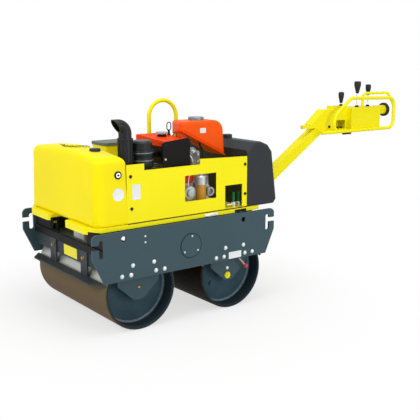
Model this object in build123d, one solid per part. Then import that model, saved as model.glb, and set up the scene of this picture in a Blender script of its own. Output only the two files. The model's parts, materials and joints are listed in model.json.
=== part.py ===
from build123d import *
from math import cos, radians, sin
import os

# Walk-behind duplex roller. Millimetres; +X towards the water tank, +Y to the machine's left, +Z up.
# Stations are measured from the point midway between the drum axles, on the mid-plane, at the floor.
# The last section moves everything along X, so that the origin is under the middle of the whole length.

# Fits and clearances
RUN_FIT = 0.05          # radial clearance of a turning fit
FACE_GAP = 0.3          # gap between bodies that lie close without touching
MOVE_GAP = 6.0          # least gap between a moving piece and its neighbours
CUT_OVER = 1.0          # how far a cutter reaches past the face it opens

# Drums
DRUM_R = 200.0
DRUM_W = 750.0
WHEELBASE = 567.0
HALF_BASE = WHEELBASE / 2
DRUM_WALL = 15.0
DRUM_EDGE = 4.0         # chamfer on the shell's ends
DISC_INSET = 78.0       # drum end to the face of its end disc
DISC_T = 12.0
WELD = 9.0              # weld between disc and shell
STUB_R = 25.0           # stub shaft in the arm's bearing
BOSS_R = 58.0           # raised boss round the stub shaft
BOSS_T = 14.0
PLUG_R = 11.0           # filler plug in each end disc
PLUG_T = 10.0
PLUG_RADIUS = 108.0     # plug to axle
PLUG_TURN = {"front": 100.0, "rear": -41.0}

# Side plates
PLATE_T = 12.0
SIDE_GAP = 16.0         # drum end to a plate's inner face
PLATE_IN = DRUM_W / 2 + SIDE_GAP
PLATE_OUT = PLATE_IN + PLATE_T
PLATE_HALF = HALF_BASE + DRUM_R + 76.5
PLATE_LOW = DRUM_R + 75.0
PLATE_TOP = PLATE_LOW + 245.0
PLATE_LOW_HALF = PLATE_HALF - 60.0
PLATE_NOSE_Z = PLATE_LOW + 130.0    # where the slanted end meets the vertical one
PLATE_CORNER = 28.0
HOOK_X = PLATE_HALF - 48.0          # middle of the tow hook's slot
HOOK_W = 26.0
HOOK_LOW = PLATE_TOP - 117.0
HOOK_HIGH = PLATE_TOP - 29.0
HOOK_MOUTH_LOW = PLATE_TOP - 73.0
HOOK_MOUTH_HIGH = PLATE_TOP - 49.0
TIE_HOLE_FRONT = PLATE_HALF - 169.0
TIE_HOLE_REAR = 216.0 - PLATE_HALF
TIE_HOLE_Z = PLATE_TOP - 37.0
TIE_HOLE_R = 14.0
COVER_Z = PLATE_LOW + 117.0
COVER_R = 62.0
COVER_T = 3.0

# Drum arms, which hang in the drums' end recesses from rubber buffers
ARM_T = 16.0
ARM_IN = PLATE_IN - 55.0
ARM_OUT = ARM_IN + ARM_T
ARM_BORE = 11.0         # depth of the blind bearing bore
STUB_END_GAP = 1.0
ARM_FOOT = (16.0, DRUM_R - 24.0, 26.0)          # offset from the axle, height, radius
ARM_SHOULDER = (95.0, DRUM_R + 45.0, 25.0)
BUFFER_TABLE = ((60.5, PLATE_LOW + 70.0, 17.0), (96.5, PLATE_LOW + 24.0, 21.0))
FRONT_PLUG = (0.0, 14.0, 7.0, 6.0)              # offset, height over the axle, radius, length
REAR_CAP = (10.0, -23.0, 18.0, 8.0)
LEVER_BALL_R = 13.5
LEVER_STEM_R = 4.0
LEVER_Y = PLATE_IN - 8.0
LEVER_BALL = (-HALF_BASE - 93.5, DRUM_R + 19.0)
LEVER_ROOT = (-HALF_BASE - 26.5, PLATE_LOW + 16.0)
LEVER_BOSS_R = 9.0

# Cross members between the side plates
CROSS_T = 12.0
CROSS_X = HALF_BASE + 186.5         # inner face
CROSS_FACE = CROSS_X + CROSS_T
CROSS_LOW = PLATE_LOW + 45.0
CROSS_TOP = PLATE_TOP - 20.0
CROSS_DIP_Y = 200.0                 # half width of the dip in the top edge
CROSS_DIP_Z = PLATE_TOP - 90.0
SHELF_DEPTH = 36.0                  # shelf under each rubber block
TIE_BAR_T = 10.0
TIE_BAR_H = 38.0
SCRAPER_T = 8.0
SCRAPER_TOP = DRUM_R + 66.0
SCRAPER_DEPTH = 59.0
SCRAPER_BACK_HALF = PLATE_IN - MOVE_GAP
SCRAPER_FRONT_HALF = SCRAPER_BACK_HALF - 75.0
BRACKET_Y = 174.0
BRACKET_W = 70.0
BRACKET_T = 8.0

# Base plate on rubber blocks
BASE_LOW = PLATE_TOP + 2.0
BASE_TOP = BASE_LOW + 19.0
BASE_FRONT = PLATE_HALF - 12.0
BASE_REAR = -CROSS_FACE - 8.0
BASE_HALF = PLATE_OUT - 21.0
BASE_CHAMFER_X = 50.0
BASE_CHAMFER_Y = 86.0
BASE_LIP = 14.0                     # how far the front lip hangs below the plate
BASE_LIP_T = 12.0
BASE_NOTCH_HALF = 88.0
BASE_NOTCH_DEPTH = 75.0
BASE_ROUND = 22.0
BASE_REAR_ROUND = 45.0
BLOCK_R = 26.0
BLOCK_Y = 290.0
OUTLET_BOX = (60.0, 110.0, 90.0)    # grey box under the base plate, length, width, height
OUTLET_X = CROSS_X - 10.0
OUTLET_Y = 72.0

# Water tank
TANK_HALF = BASE_HALF - 9.0
TANK_FRONT = BASE_FRONT - 29.0
TANK_REAR = TANK_FRONT - 169.0
TANK_EDGE_Z = BASE_TOP + 325.0
TANK_CROWN_Z = BASE_TOP + 351.0
TANK_DRAFT = 2.0
TANK_CORNER = 55.0
TANK_EDGE_R = 36.0
TANK_FOOT_R = 16.0
TANK_WALL = 8.0
NECK_RING = (TANK_REAR + 85.0, 0.0, 36.0, 6.0)      # x, y, radius, height over the crown
FILLER_X = TANK_REAR + 68.0
FILLER_Y = 192.0
FILLER_R = 27.0
FILLER_LOW = TANK_CROWN_Z - 10.0
FILLER_H = 16.0
CAP_EDGE = 3.0                      # chamfer on filler caps

# Rear box
BOX_FRONT = -HALF_BASE - 108.5
BOX_REAR = BOX_FRONT - 214.0
BOX_HALF = TANK_HALF - 1.0
BOX_CROWN = BASE_TOP + 345.0
BOX_OUTLINE = (
    (BOX_FRONT, BASE_TOP), (BOX_FRONT, BASE_TOP + 304.0), (BOX_FRONT - 46.0, BOX_CROWN),
    (BOX_FRONT - 100.0, BOX_CROWN), (BOX_REAR + 66.0, BOX_CROWN - 20.0), (BOX_REAR + 36.0, BOX_CROWN - 58.0),
    (BOX_REAR, BASE_TOP + 20.0), (BOX_REAR + 16.0, BASE_TOP),
)
BOX_ROUND = 16.0
BOX_CAP_X = BOX_FRONT - 73.0
BOX_CAP_Y = 105.0
BOX_CAP_R = 27.0
BOX_CAP_H = 20.0

# Side panels between tank and rear box
PANEL_T = 3.0
PANEL_OUT = TANK_HALF - 1.0
PANEL_IN = PANEL_OUT - PANEL_T
PANEL_FRONT = TANK_REAR - FACE_GAP
PANEL_REAR = BOX_FRONT + 2.0
PANEL_TOP = BASE_TOP + 289.0
PANEL_SILL = BASE_TOP + 256.0       # bottom of the notch in the top edge
PANEL_REAR_TOP = BASE_TOP + 274.0
PANEL_OUTLINE = (
    (PANEL_FRONT, BASE_TOP), (PANEL_FRONT, PANEL_TOP), (251.0, PANEL_TOP), (251.0, PANEL_SILL),
    (-82.0, PANEL_SILL), (-82.0, PANEL_TOP - 5.0), (PANEL_REAR, PANEL_REAR_TOP), (PANEL_REAR, BASE_TOP),
)
WINDOW_1 = (-185.0, 13.0, BASE_TOP + 73.0, BASE_TOP + 206.0)
WINDOW_2 = (BOX_FRONT + 34.0, BOX_FRONT + 149.0, BASE_TOP, BASE_TOP + 130.0)

# Engine, whose near side faces the left panel's windows
CASE_X0 = -235.0
CASE_X1 = 60.0
CASE_Y0 = 5.0
CASE_Y1 = TANK_HALF - 138.0
CASE_LOW = BASE_TOP + 24.0
CASE_TOP = BASE_TOP + 229.0
CASE_ROUND = 14.0
FOOT_INSET = 20.0
BARREL = (20.0, 140.0, 62.0)        # x, y, radius
FIN_R = 84.0
FIN_T = 4.0
FIN_PITCH = 10.0
GEAR_COVER = ((-180.0, BASE_TOP + 92.0, 52.0), (-45.0, BASE_TOP + 92.0, 50.0))
GEAR_COVER_Y = CASE_Y1 + 20.0
PUMP = (-74.0, BASE_TOP + 99.0, 34.0, 40.0)         # x, z, radius, length
PUMP_NOSE = (20.0, 10.0)                            # radius, length
OIL_RING = (-226.0, BASE_TOP + 87.0, 24.0, 13.0)
OIL_RING_BORE = 16.0
HEAD = (-150.0, -52.0, 120.0, CASE_Y1 + 5.0, CASE_TOP - 10.0, CASE_TOP + 98.0)
HEAD_BOSSES = ((-85.0, CASE_TOP + 58.0, 24.0, 22.0), (-125.0, CASE_TOP + 25.0, 16.0, 15.0))
SEAT = (-130.0, -90.0, 140.0, 200.0)                # post under the fuel tank
COWL_X0 = -64.0
COWL_X1 = 86.0
COWL_Y0 = 28.0
COWL_Y1 = TANK_HALF - 83.0
COWL_LOW = BASE_TOP + 349.0
COWL_TOP_NEAR = BASE_TOP + 376.0
COWL_TOP_FAR = BASE_TOP + 393.0
COWL_ROUND = 8.0
SHROUD = (-50.0, COWL_X1 - 10.0, COWL_Y0 + 12.0, COWL_Y1 - 30.0, BASE_TOP + 259.0, COWL_LOW)
SIDE_CASTING = (-117.0, -22.0, CASE_Y1, CASE_Y1 + 28.0, BASE_TOP + 148.0, CASE_TOP - 20.0)
FUEL_Y0 = 95.0
FUEL_Y1 = TANK_HALF - 128.0
FUEL_TOP = BASE_TOP + 462.0
FUEL_OUTLINE = (
    (-48.0, FUEL_TOP - 41.0), (-48.0, FUEL_TOP), (-328.0, FUEL_TOP), (-340.0, BASE_TOP + 274.0),
)
FUEL_SKEW = 52.0                    # how far the front face falls back at the far side
FUEL_SHOULDER = 60.0
FUEL_ROUND = 16.0
FUEL_CORNER = 24.0                  # near front corner
FUEL_CAP_R = 42.0
FUEL_CAP_X = -204.0
FUEL_CAP_Y = 166.0
FUEL_CAP_T = 16.0
MUFFLER = (-40.0, 100.0, BASE_TOP + 251.0, BASE_TOP + 374.0)
MUFFLER_Y0 = COWL_Y1 + 2.0
MUFFLER_Y1 = TANK_HALF - 53.0
MUFFLER_ROUND = 20.0
MUFFLER_FLANGE = (0.0, 50.0, BASE_TOP + 269.0, BASE_TOP + 319.0)
SHIELD_OUT = MUFFLER_Y1 + 10.0
SHIELD_T = 4.0
SHIELD_OUTLINE = (
    (-50.0, BASE_TOP + 244.0), (-50.0, BASE_TOP + 392.0), (115.0, BASE_TOP + 377.0), (115.0, BASE_TOP + 244.0),
)
SHIELD_ROUND = 16.0
SPACER_R = 6.0
SPACERS = ((-20.0, BASE_TOP + 350.0), (80.0, BASE_TOP + 350.0), (30.0, BASE_TOP + 280.0))
FILTER_X = TANK_REAR - 141.0
FILTER_Y = TANK_HALF - 98.0
FILTER_R = 60.0
FILTER_LOW = BASE_TOP + 229.0
FILTER_TOP = BASE_TOP + 389.0
FILTER_EDGE = 9.0
FILTER_BANDS = (FILTER_TOP - 62.0, FILTER_TOP - 92.0)
BAND_T = 12.0
BAND_H = 3.0                        # how far a band stands off the canister
FILTER_POST_R = 14.0
FILTER_FOOT = 8.0
NECK_R = 16.0
NECK_Z = BASE_TOP + 309.0
NECK_OFFSET = 46.0
SNORKEL_X = TANK_REAR - 43.0
SNORKEL_Y = TANK_HALF - 81.0
SNORKEL_R = 32.0
SNORKEL_BORE = 27.0
SNORKEL_LOW = BASE_TOP + 159.0
SNORKEL_BEND_Z = BASE_TOP + 430.0
SNORKEL_BEND_R = 38.0               # bend's axis to the stem's centre line
SNORKEL_TIP = (TANK_REAR + 25.0, BASE_TOP + 500.0)
SNORKEL_LIP = (TANK_REAR - 10.0, BASE_TOP + 440.0)
RIB_R = 34.5
RIB_T = 8.0
RIB_PITCH = 16.0
RIB_LOW = BASE_TOP + 200.0
RIB_COUNT = 12
FUEL_FILTER = (-139.0, GEAR_COVER_Y + 45.0)         # x, y
BOWL_R = 26.0
BOWL_LOW = BASE_TOP + 51.0
BOWL_TOP = BASE_TOP + 139.0
BOWL_EDGE = 6.0
HEAD_R = 32.0
HEAD_TOP = BASE_TOP + 186.0
FILTER_ARM_R = 8.0
FILTER_ARM_Z = GEAR_COVER[0][1] + 30.0
VALVE_Y = TANK_HALF - 53.0
VALVE_X = (BOX_FRONT + 51.0, BOX_FRONT + 16.0)
VALVE_R = 14.0
VALVE_TOP = BASE_TOP + 26.0
PIPE_R = 9.0
PIPE_END = BOX_FRONT + 102.0
PIPE_Z = BASE_TOP + 14.0
HANDLE = (11.0, 6.0, 52.0)                          # width, thickness, height
OIL_TANK = (-60.0, 150.0, -TANK_HALF + 18.0, -TANK_HALF + 173.0)
OIL_TANK_TOP = BASE_TOP + 327.0
OIL_TANK_ROUND = 20.0
OIL_LID_T = 16.0
OIL_LID_LIP = 4.0                     # how far the lid stands out all round

# Lifting bail
BAIL_X0 = -215.0
BAIL_X1 = -39.0
BAIL_Y = -40.0
BAIL_TOP = BASE_TOP + 559.0         # centre line of the bow
BAIL_R = 11.0
BAIL_FOOT = 10.0

# Drawbar and its pivot
PIVOT_X = -PLATE_HALF - 115.0
PIVOT_Z = PLATE_TOP - 36.0
PIN_R = 14.0
DRAW_ANGLE = 33.8       # slope of the drawbar in degrees
DRAW_DEPTH = 62.0
DRAW_HALF = 30.0
DRAW_WALL = 6.0
DRAW_LENGTH = 720.0     # pivot to the end inside the console
EAR_T = 14.0
EAR_R = 34.0
EAR_ROOT_R = 5.0
END_X = PIVOT_X - DRAW_LENGTH * cos(radians(DRAW_ANGLE))
END_Z = PIVOT_Z + DRAW_LENGTH * sin(radians(DRAW_ANGLE))
DATUM_X = END_X + 93.4  # the console is measured from this point, below and ahead of the drawbar's end
DATUM_Z = END_Z - 34.4

# Console on the end of the drawbar
SHEET = 4.0
NECK_HALF = DRAW_HALF + SHEET
CONSOLE_HALF = 80.0
CONSOLE_LOW = DATUM_Z + 14.0
CONSOLE_TOP = DATUM_Z + 158.0
CONSOLE_REAR = DATUM_X - 596.0
BOX_START = DATUM_X - 320.0           # where the neck widens to the box
NECK_TOP = DATUM_Z + 171.0
NECK_OUTLINE = (
    (DATUM_X - 13.0, DATUM_Z + 63.0), (DATUM_X - 125.0, DATUM_Z + 152.0), (DATUM_X - 208.0, DATUM_Z + 150.0),
    (DATUM_X - 208.0, NECK_TOP), (BOX_START, NECK_TOP), (BOX_START, CONSOLE_LOW),
    (DATUM_X - 98.0, CONSOLE_LOW - 7.0),
)
LUG = (DATUM_X - 45.0, DATUM_X + 62.0, 10.0, NECK_HALF, DATUM_Z + 40.0, DATUM_Z + 62.0)
POCKET = (BOX_START + 8.0, DATUM_X - 217.0, DATUM_Z + 26.0, DATUM_Z + 80.0)
HUB_R = 30.0                        # round housing of the stop pad
HUB_Y = 20.0
HUB_Z = DATUM_Z + 131.0
HUB_END = CONSOLE_REAR - 96.0
LOOP_Y = CONSOLE_HALF + 15.0
LOOP_R = 11.0
LOOP_REAR = CONSOLE_REAR - 117.0
LOOP_LOW = DATUM_Z + 14.0
LOOP_FRONT = DATUM_X - 137.0
LOOP_PATH = (
    (LOOP_FRONT, LOOP_LOW), (LOOP_FRONT - 22.0, DATUM_Z + 118.0), (DATUM_X - 296.0, DATUM_Z + 222.0),
    (LOOP_REAR, DATUM_Z + 212.0), (LOOP_REAR, LOOP_LOW),
)
LOOP_BEND = 50.0
LOOP_LEAD = DATUM_X - 40.0            # front end of the bottom rail
BRACE_R = 9.0
BRACE_X = DATUM_X - 454.0
BRACE_Y = 50.0
BRACE_RISE = DATUM_Z + 247.0
BRACE_BEND = 28.0
TAB = 16.0
LOOP_TABS = ((DATUM_X - 112.0, NECK_HALF), (DATUM_X - 205.0, NECK_HALF), (DATUM_X - 520.0, CONSOLE_HALF))
KNOB_TABLE = (                      # x, foot of the rod, bottom and top of the grip, radius
    (DATUM_X - 283.0, NECK_TOP, DATUM_Z + 189.0, DATUM_Z + 259.0, 18.0),
    (DATUM_X - 433.0, CONSOLE_TOP, DATUM_Z + 246.0, DATUM_Z + 324.0, 22.0),
    (DATUM_X - 537.0, CONSOLE_TOP, DATUM_Z + 232.0, DATUM_Z + 302.0, 18.0),
)
KNOB_Y = 20.0
KNOB_STEM_R = 9.0
KNOB_EDGE = 5.0
KNOB_HEAD = 26.0                    # height of the grip's widest part from its top
ROD_R = 5.0
PAD_R = 45.0
PAD_T = 20.0

REAR_END = LOOP_REAR - LOOP_R
SHIFT_X = -(PLATE_HALF + REAR_END) / 2


def side_slab(points, y_low, y_high):
    """Outline in X and Z, extruded from one Y station to another."""
    face = make_face(Polyline(*[(x, 0.0, z) for x, z in points], close=True))
    return extrude(face, y_high - y_low, dir=(0, 1, 0)).moved(Location((0, y_low, 0)))


def end_slab(points, x_low, x_high):
    """Outline in Y and Z, extruded from one X station to another."""
    face = make_face(Polyline(*[(x_low, y, z) for y, z in points], close=True))
    return extrude(face, x_high - x_low, dir=(1, 0, 0))


def plan_slab(points, z_low, z_high):
    """Outline in X and Y, extruded from one height to another."""
    face = make_face(Polyline(*[(x, y, z_low) for x, y in points], close=True))
    return extrude(face, z_high - z_low, dir=(0, 0, 1))


def box_between(x0, x1, y0, y1, z0, z1):
    """Block between two corners."""
    centre = Location(((x0 + x1) / 2, (y0 + y1) / 2, (z0 + z1) / 2))
    return Box(x1 - x0, y1 - y0, z1 - z0).moved(centre)


def rod_y(x, z, radius, y_low, y_high):
    """Cylinder along Y."""
    body = Cylinder(radius, y_high - y_low, rotation=(90, 0, 0))
    return body.moved(Location((x, (y_low + y_high) / 2, z)))


def rod_z(x, y, radius, z_low, z_high):
    """Upright cylinder."""
    return Cylinder(radius, z_high - z_low).moved(Location((x, y, (z_low + z_high) / 2)))


def rod_x(y, z, radius, x_low, x_high):
    """Cylinder along X."""
    body = Cylinder(radius, x_high - x_low, rotation=(0, 90, 0))
    return body.moved(Location(((x_low + x_high) / 2, y, z)))


def rod_between(start, end, radius):
    """Cylinder from one point to another."""
    along = Vector(*end) - Vector(*start)
    return Solid.make_cylinder(radius, along.length, Plane(start, z_dir=along))


def hull_slab(circles, y_low, y_high):
    """Plate that wraps circles given as x, z and radius, extruded along Y."""
    edges = [CenterArc((x, z), radius, 0, 360).edge() for x, z, radius in circles]
    face = Plane.XZ * make_hull(edges)
    return extrude(face, y_high - y_low, dir=(0, 1, 0)).moved(Location((0, y_low, 0)))


def at_end(shape, end):
    """The front shape, or its mirror image at the rear end."""
    return shape if end > 0 else shape.mirror(Plane.YZ)


def at_side(shape, side):
    """The left shape, or its mirror image on the right."""
    return shape if side > 0 else shape.mirror(Plane.XZ)


def drum(axle_x, plug_turn):
    """Steel drum with set-back end discs, welds, filler plugs, bosses and stub shafts."""
    inner_r = DRUM_R - DRUM_WALL
    body = Cylinder(DRUM_R, DRUM_W) - Cylinder(inner_r, DRUM_W)
    body = chamfer(body.edges().filter_by(GeomType.CIRCLE), DRUM_EDGE)
    face_z = DRUM_W / 2 - DISC_INSET
    weld = revolve(make_face(Polyline(
        (inner_r, 0, face_z), (inner_r - WELD, 0, face_z), (inner_r, 0, face_z + WELD), close=True)), Axis.Z)
    end = Pos(0, 0, face_z - DISC_T / 2) * Cylinder(inner_r, DISC_T) + weld
    end += Pos(0, 0, face_z + BOSS_T / 2) * Cylinder(BOSS_R, BOSS_T)
    stub = ARM_IN + ARM_BORE - STUB_END_GAP - face_z
    end += Pos(0, 0, face_z + stub / 2) * Cylinder(STUB_R, stub)
    turn = radians(plug_turn)
    plug_place = Pos(PLUG_RADIUS * cos(turn), PLUG_RADIUS * sin(turn), face_z + PLUG_T / 2)
    end += plug_place * Cylinder(PLUG_R, PLUG_T)
    end = end.rotate(Axis.X, 90)
    body = body.rotate(Axis.X, 90) + end + end.mirror(Plane.XZ)
    return body.moved(Location((axle_x, 0, DRUM_R)))


def side_plate(side):
    """Frame side with tow hooks cut in both ends."""
    half = ((PLATE_LOW_HALF, PLATE_LOW), (PLATE_HALF, PLATE_NOSE_Z), (PLATE_HALF, PLATE_TOP))
    points = list(half) + [(-x, z) for x, z in reversed(half)]
    plate = side_slab(points, PLATE_IN, PLATE_OUT)
    plate = fillet(plate.edges().filter_by(Axis.Y).group_by(Axis.Z)[-1], PLATE_CORNER)
    slot = box_between(
        HOOK_X - HOOK_W / 2, HOOK_X + HOOK_W / 2, PLATE_IN, PLATE_OUT, HOOK_LOW, HOOK_HIGH)
    slot = fillet(slot.edges().filter_by(Axis.Y), HOOK_W / 2 - CUT_OVER)
    slot += box_between(
        HOOK_X, PLATE_HALF + CUT_OVER, PLATE_IN, PLATE_OUT, HOOK_MOUTH_LOW, HOOK_MOUTH_HIGH)
    for end in (1, -1):
        plate -= at_end(slot, end)
    for x in (TIE_HOLE_FRONT, TIE_HOLE_REAR):
        plate -= rod_y(x, TIE_HOLE_Z, TIE_HOLE_R, PLATE_IN, PLATE_OUT)
    return at_side(plate, side)


def side_cover(side):
    """Round cover on the outside of a side plate."""
    cover = rod_y(0, COVER_Z, COVER_R, PLATE_OUT, PLATE_OUT + COVER_T)
    cover = chamfer(cover.edges().sort_by(Axis.Y)[-1], COVER_T / 2)
    return at_side(cover, side)


def drum_arm(axle_x, side):
    """Arm in a drum's end recess, wide at the buffers and narrow at the blind bearing."""
    circles = []
    for hand in (-1, 1):
        for dx, z, radius in (ARM_FOOT, ARM_SHOULDER) + BUFFER_TABLE:
            circles.append((hand * dx, z, radius))
    arm = hull_slab(circles, ARM_IN, ARM_OUT)
    arm -= rod_y(0, DRUM_R, STUB_R + RUN_FIT, ARM_IN, ARM_IN + ARM_BORE)
    return at_side(arm, side).moved(Location((axle_x, 0, 0)))


def arm_buffers(axle_x, side):
    """Rubber buffers between an arm and the side plate."""
    rubber = []
    for hand in (-1, 1):
        for dx, z, radius in BUFFER_TABLE:
            rubber.append(at_side(rod_y(axle_x + hand * dx, z, radius, ARM_OUT, PLATE_IN), side))
    return Compound(children=rubber)


def hub_caps(axle_x, cap):
    """Round plug or cap on the outside of both arms of a drum."""
    dx, dz, radius, length = cap
    near = rod_y(axle_x + dx, DRUM_R + dz, radius, ARM_OUT, ARM_OUT + length)
    near = chamfer(near.edges().sort_by(Axis.Y)[-1], length / 4)
    return Compound(children=[near, near.mirror(Plane.XZ)])


def brake_lever():
    """Ball on a thin stem that comes out from behind the left side plate."""
    ball_at = (LEVER_BALL[0], LEVER_Y, LEVER_BALL[1])
    root_at = (LEVER_ROOT[0], LEVER_Y, LEVER_ROOT[1])
    ball = Sphere(LEVER_BALL_R).moved(Location(ball_at))
    boss = rod_y(LEVER_ROOT[0], LEVER_ROOT[1], LEVER_BOSS_R, LEVER_Y - LEVER_STEM_R, PLATE_IN)
    return ball + rod_between(ball_at, root_at, LEVER_STEM_R) + boss


def cross_plate(end):
    """Plate across the frame with a dip in its top edge and a shelf under each rubber block."""
    half = (
        (PLATE_IN, CROSS_LOW), (PLATE_IN, CROSS_TOP), (CROSS_DIP_Y, CROSS_TOP), (CROSS_DIP_Y, CROSS_DIP_Z),
    )
    points = list(half) + [(-y, z) for y, z in reversed(half)]
    plate = end_slab(points, CROSS_X, CROSS_FACE)
    for side in (-1, 1):
        y = side * BLOCK_Y
        plate += box_between(
            CROSS_FACE - SHELF_DEPTH * 2, CROSS_FACE, y - SHELF_DEPTH, y + SHELF_DEPTH,
            CROSS_TOP - CROSS_T, CROSS_TOP)
    return at_end(plate, end)


def tie_bar(end):
    """Flat bar across the outer face of a cross plate."""
    bar = box_between(
        CROSS_FACE, CROSS_FACE + TIE_BAR_T, -PLATE_IN, PLATE_IN, CROSS_DIP_Z - TIE_BAR_H, CROSS_DIP_Z)
    return at_end(bar, end)


def scraper(end):
    """Tapered shelf in front of a drum, on two brackets that stand on the cross plate's face."""
    back = CROSS_FACE
    front = CROSS_FACE + SCRAPER_DEPTH
    low = SCRAPER_TOP - SCRAPER_T
    plan = (
        (back, -SCRAPER_BACK_HALF), (front, -SCRAPER_FRONT_HALF),
        (front, SCRAPER_FRONT_HALF), (back, SCRAPER_BACK_HALF),
    )
    blade = plan_slab(plan, low, SCRAPER_TOP)
    for side in (-1, 1):
        y = side * BRACKET_Y
        blade += box_between(
            back, back + BRACKET_T, y - BRACKET_W / 2, y + BRACKET_W / 2, low, CROSS_DIP_Z - TIE_BAR_H)
    return at_end(blade, end)


def base_plate():
    """Plate that carries the tank, the engine and the rear box, with two lipped lobes at the front."""
    notch_x = BASE_FRONT - BASE_NOTCH_DEPTH
    lobe = (
        (BASE_FRONT - BASE_CHAMFER_X, BASE_HALF), (BASE_FRONT, BASE_HALF - BASE_CHAMFER_Y),
        (BASE_FRONT, BASE_NOTCH_HALF), (notch_x, BASE_NOTCH_HALF),
    )
    outline = [(BASE_REAR, BASE_HALF)] + list(lobe)
    outline += [(x, -y) for x, y in reversed(outline)]
    plate = plan_slab(outline, BASE_LOW - BASE_LIP, BASE_TOP)
    tips = plate.edges().filter_by(Axis.Z).group_by(Axis.X)[-1]
    plate = fillet(tips, BASE_ROUND)
    tails = plate.edges().filter_by(Axis.Z).group_by(Axis.X)[0]
    plate = fillet(tails, BASE_REAR_ROUND)
    return plate - box_between(
        BASE_REAR, BASE_FRONT - BASE_LIP_T, -BASE_HALF, BASE_HALF, BASE_LOW - BASE_LIP, BASE_LOW)


def rubber_blocks():
    """Round rubber blocks between the cross plates' shelves and the base plate."""
    blocks = []
    for end in (-1, 1):
        for side in (-1, 1):
            x = end * (CROSS_FACE - SHELF_DEPTH)
            blocks.append(rod_z(x, side * BLOCK_Y, BLOCK_R, CROSS_TOP, BASE_LOW))
    return Compound(children=blocks)


def outlet_box():
    """Grey box that hangs under the base plate behind the front notch."""
    length, width, height = OUTLET_BOX
    half = width / 2
    return box_between(
        OUTLET_X - length, OUTLET_X, OUTLET_Y - half, OUTLET_Y + half, BASE_LOW - height, BASE_LOW)


def tank_form(inset, soften):
    """Closed form of the water tank, drawn in from its outside by a wall; fillet or chamfer softens its edges."""
    rear = TANK_REAR + inset
    front = TANK_FRONT - inset
    half = TANK_HALF - inset
    low = BASE_TOP + inset
    edge_z = TANK_EDGE_Z - inset
    crown_z = TANK_CROWN_Z - inset
    behind = rear - TANK_CORNER
    sketch = make_face(Polyline((behind, -half), (front, -half), (front, half), (behind, half), close=True))
    sketch = soften(sketch.vertices().group_by(Axis.X)[-1], TANK_CORNER - inset)
    body = extrude(sketch, crown_z - low, taper=TANK_DRAFT).moved(Location((0, 0, low)))
    crown = make_face([
        Line((rear, -half, low), (rear, half, low)),
        Line((rear, half, low), (rear, half, edge_z)),
        ThreePointArc((rear, half, edge_z), (rear, 0, crown_z), (rear, -half, edge_z)),
        Line((rear, -half, edge_z), (rear, -half, low)),
    ])
    body &= extrude(crown, front - rear, dir=(1, 0, 0))
    body = soften(body.faces().sort_by(Axis.Z)[-1].edges(), TANK_EDGE_R - inset)
    foot = body.faces().sort_by(Axis.Z)[0].edges().sort_by(Axis.X)[1:]
    return soften(foot, TANK_FOOT_R - inset)


def water_tank():
    """Moulded tank with drafted walls, round front corners, a crowned top and a filler neck."""
    body = tank_form(0.0, fillet)
    x, y, radius, height = NECK_RING
    neck = rod_z(x, y, radius, TANK_CROWN_Z - TANK_EDGE_R, TANK_CROWN_Z + height)
    body += chamfer(neck.edges().group_by(Axis.Z)[-1], CAP_EDGE)
    body -= tank_form(TANK_WALL, chamfer)
    return body - rod_z(FILLER_X, FILLER_Y, FILLER_R / 2, FILLER_LOW - TANK_EDGE_R, TANK_CROWN_Z)


def tank_cap():
    """Small filler cap on the tank's crown."""
    cap = rod_z(FILLER_X, FILLER_Y, FILLER_R, FILLER_LOW, FILLER_LOW + FILLER_H)
    return chamfer(cap.edges().group_by(Axis.Z)[-1], CAP_EDGE)


def side_panel(side):
    """Sheet panel with a notch in its top edge, and two windows on the left side."""
    panel = side_slab(PANEL_OUTLINE, PANEL_IN, PANEL_OUT)
    if side > 0:
        for x0, x1, z0, z1 in (WINDOW_1, WINDOW_2):
            panel -= box_between(x0, x1, PANEL_IN - CUT_OVER, PANEL_OUT + CUT_OVER, z0, z1)
    return at_side(panel, side)


def rear_box():
    """Moulded box behind the engine, drafted at the rear."""
    body = side_slab(BOX_OUTLINE, -BOX_HALF, BOX_HALF)
    for face in (body.faces().sort_by(Axis.Y)[0], body.faces().sort_by(Axis.Y)[-1]):
        rounded = [edge for edge in face.edges() if edge.center().Z > BASE_TOP and edge.center().X < BOX_FRONT]
        body = fillet(rounded, BOX_ROUND)
    return body


def box_cap():
    """Filler cap on the rear box."""
    cap = rod_z(BOX_CAP_X, BOX_CAP_Y, BOX_CAP_R, BOX_CROWN, BOX_CROWN + BOX_CAP_H)
    return chamfer(cap.edges().group_by(Axis.Z)[-1], CAP_EDGE)


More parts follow.
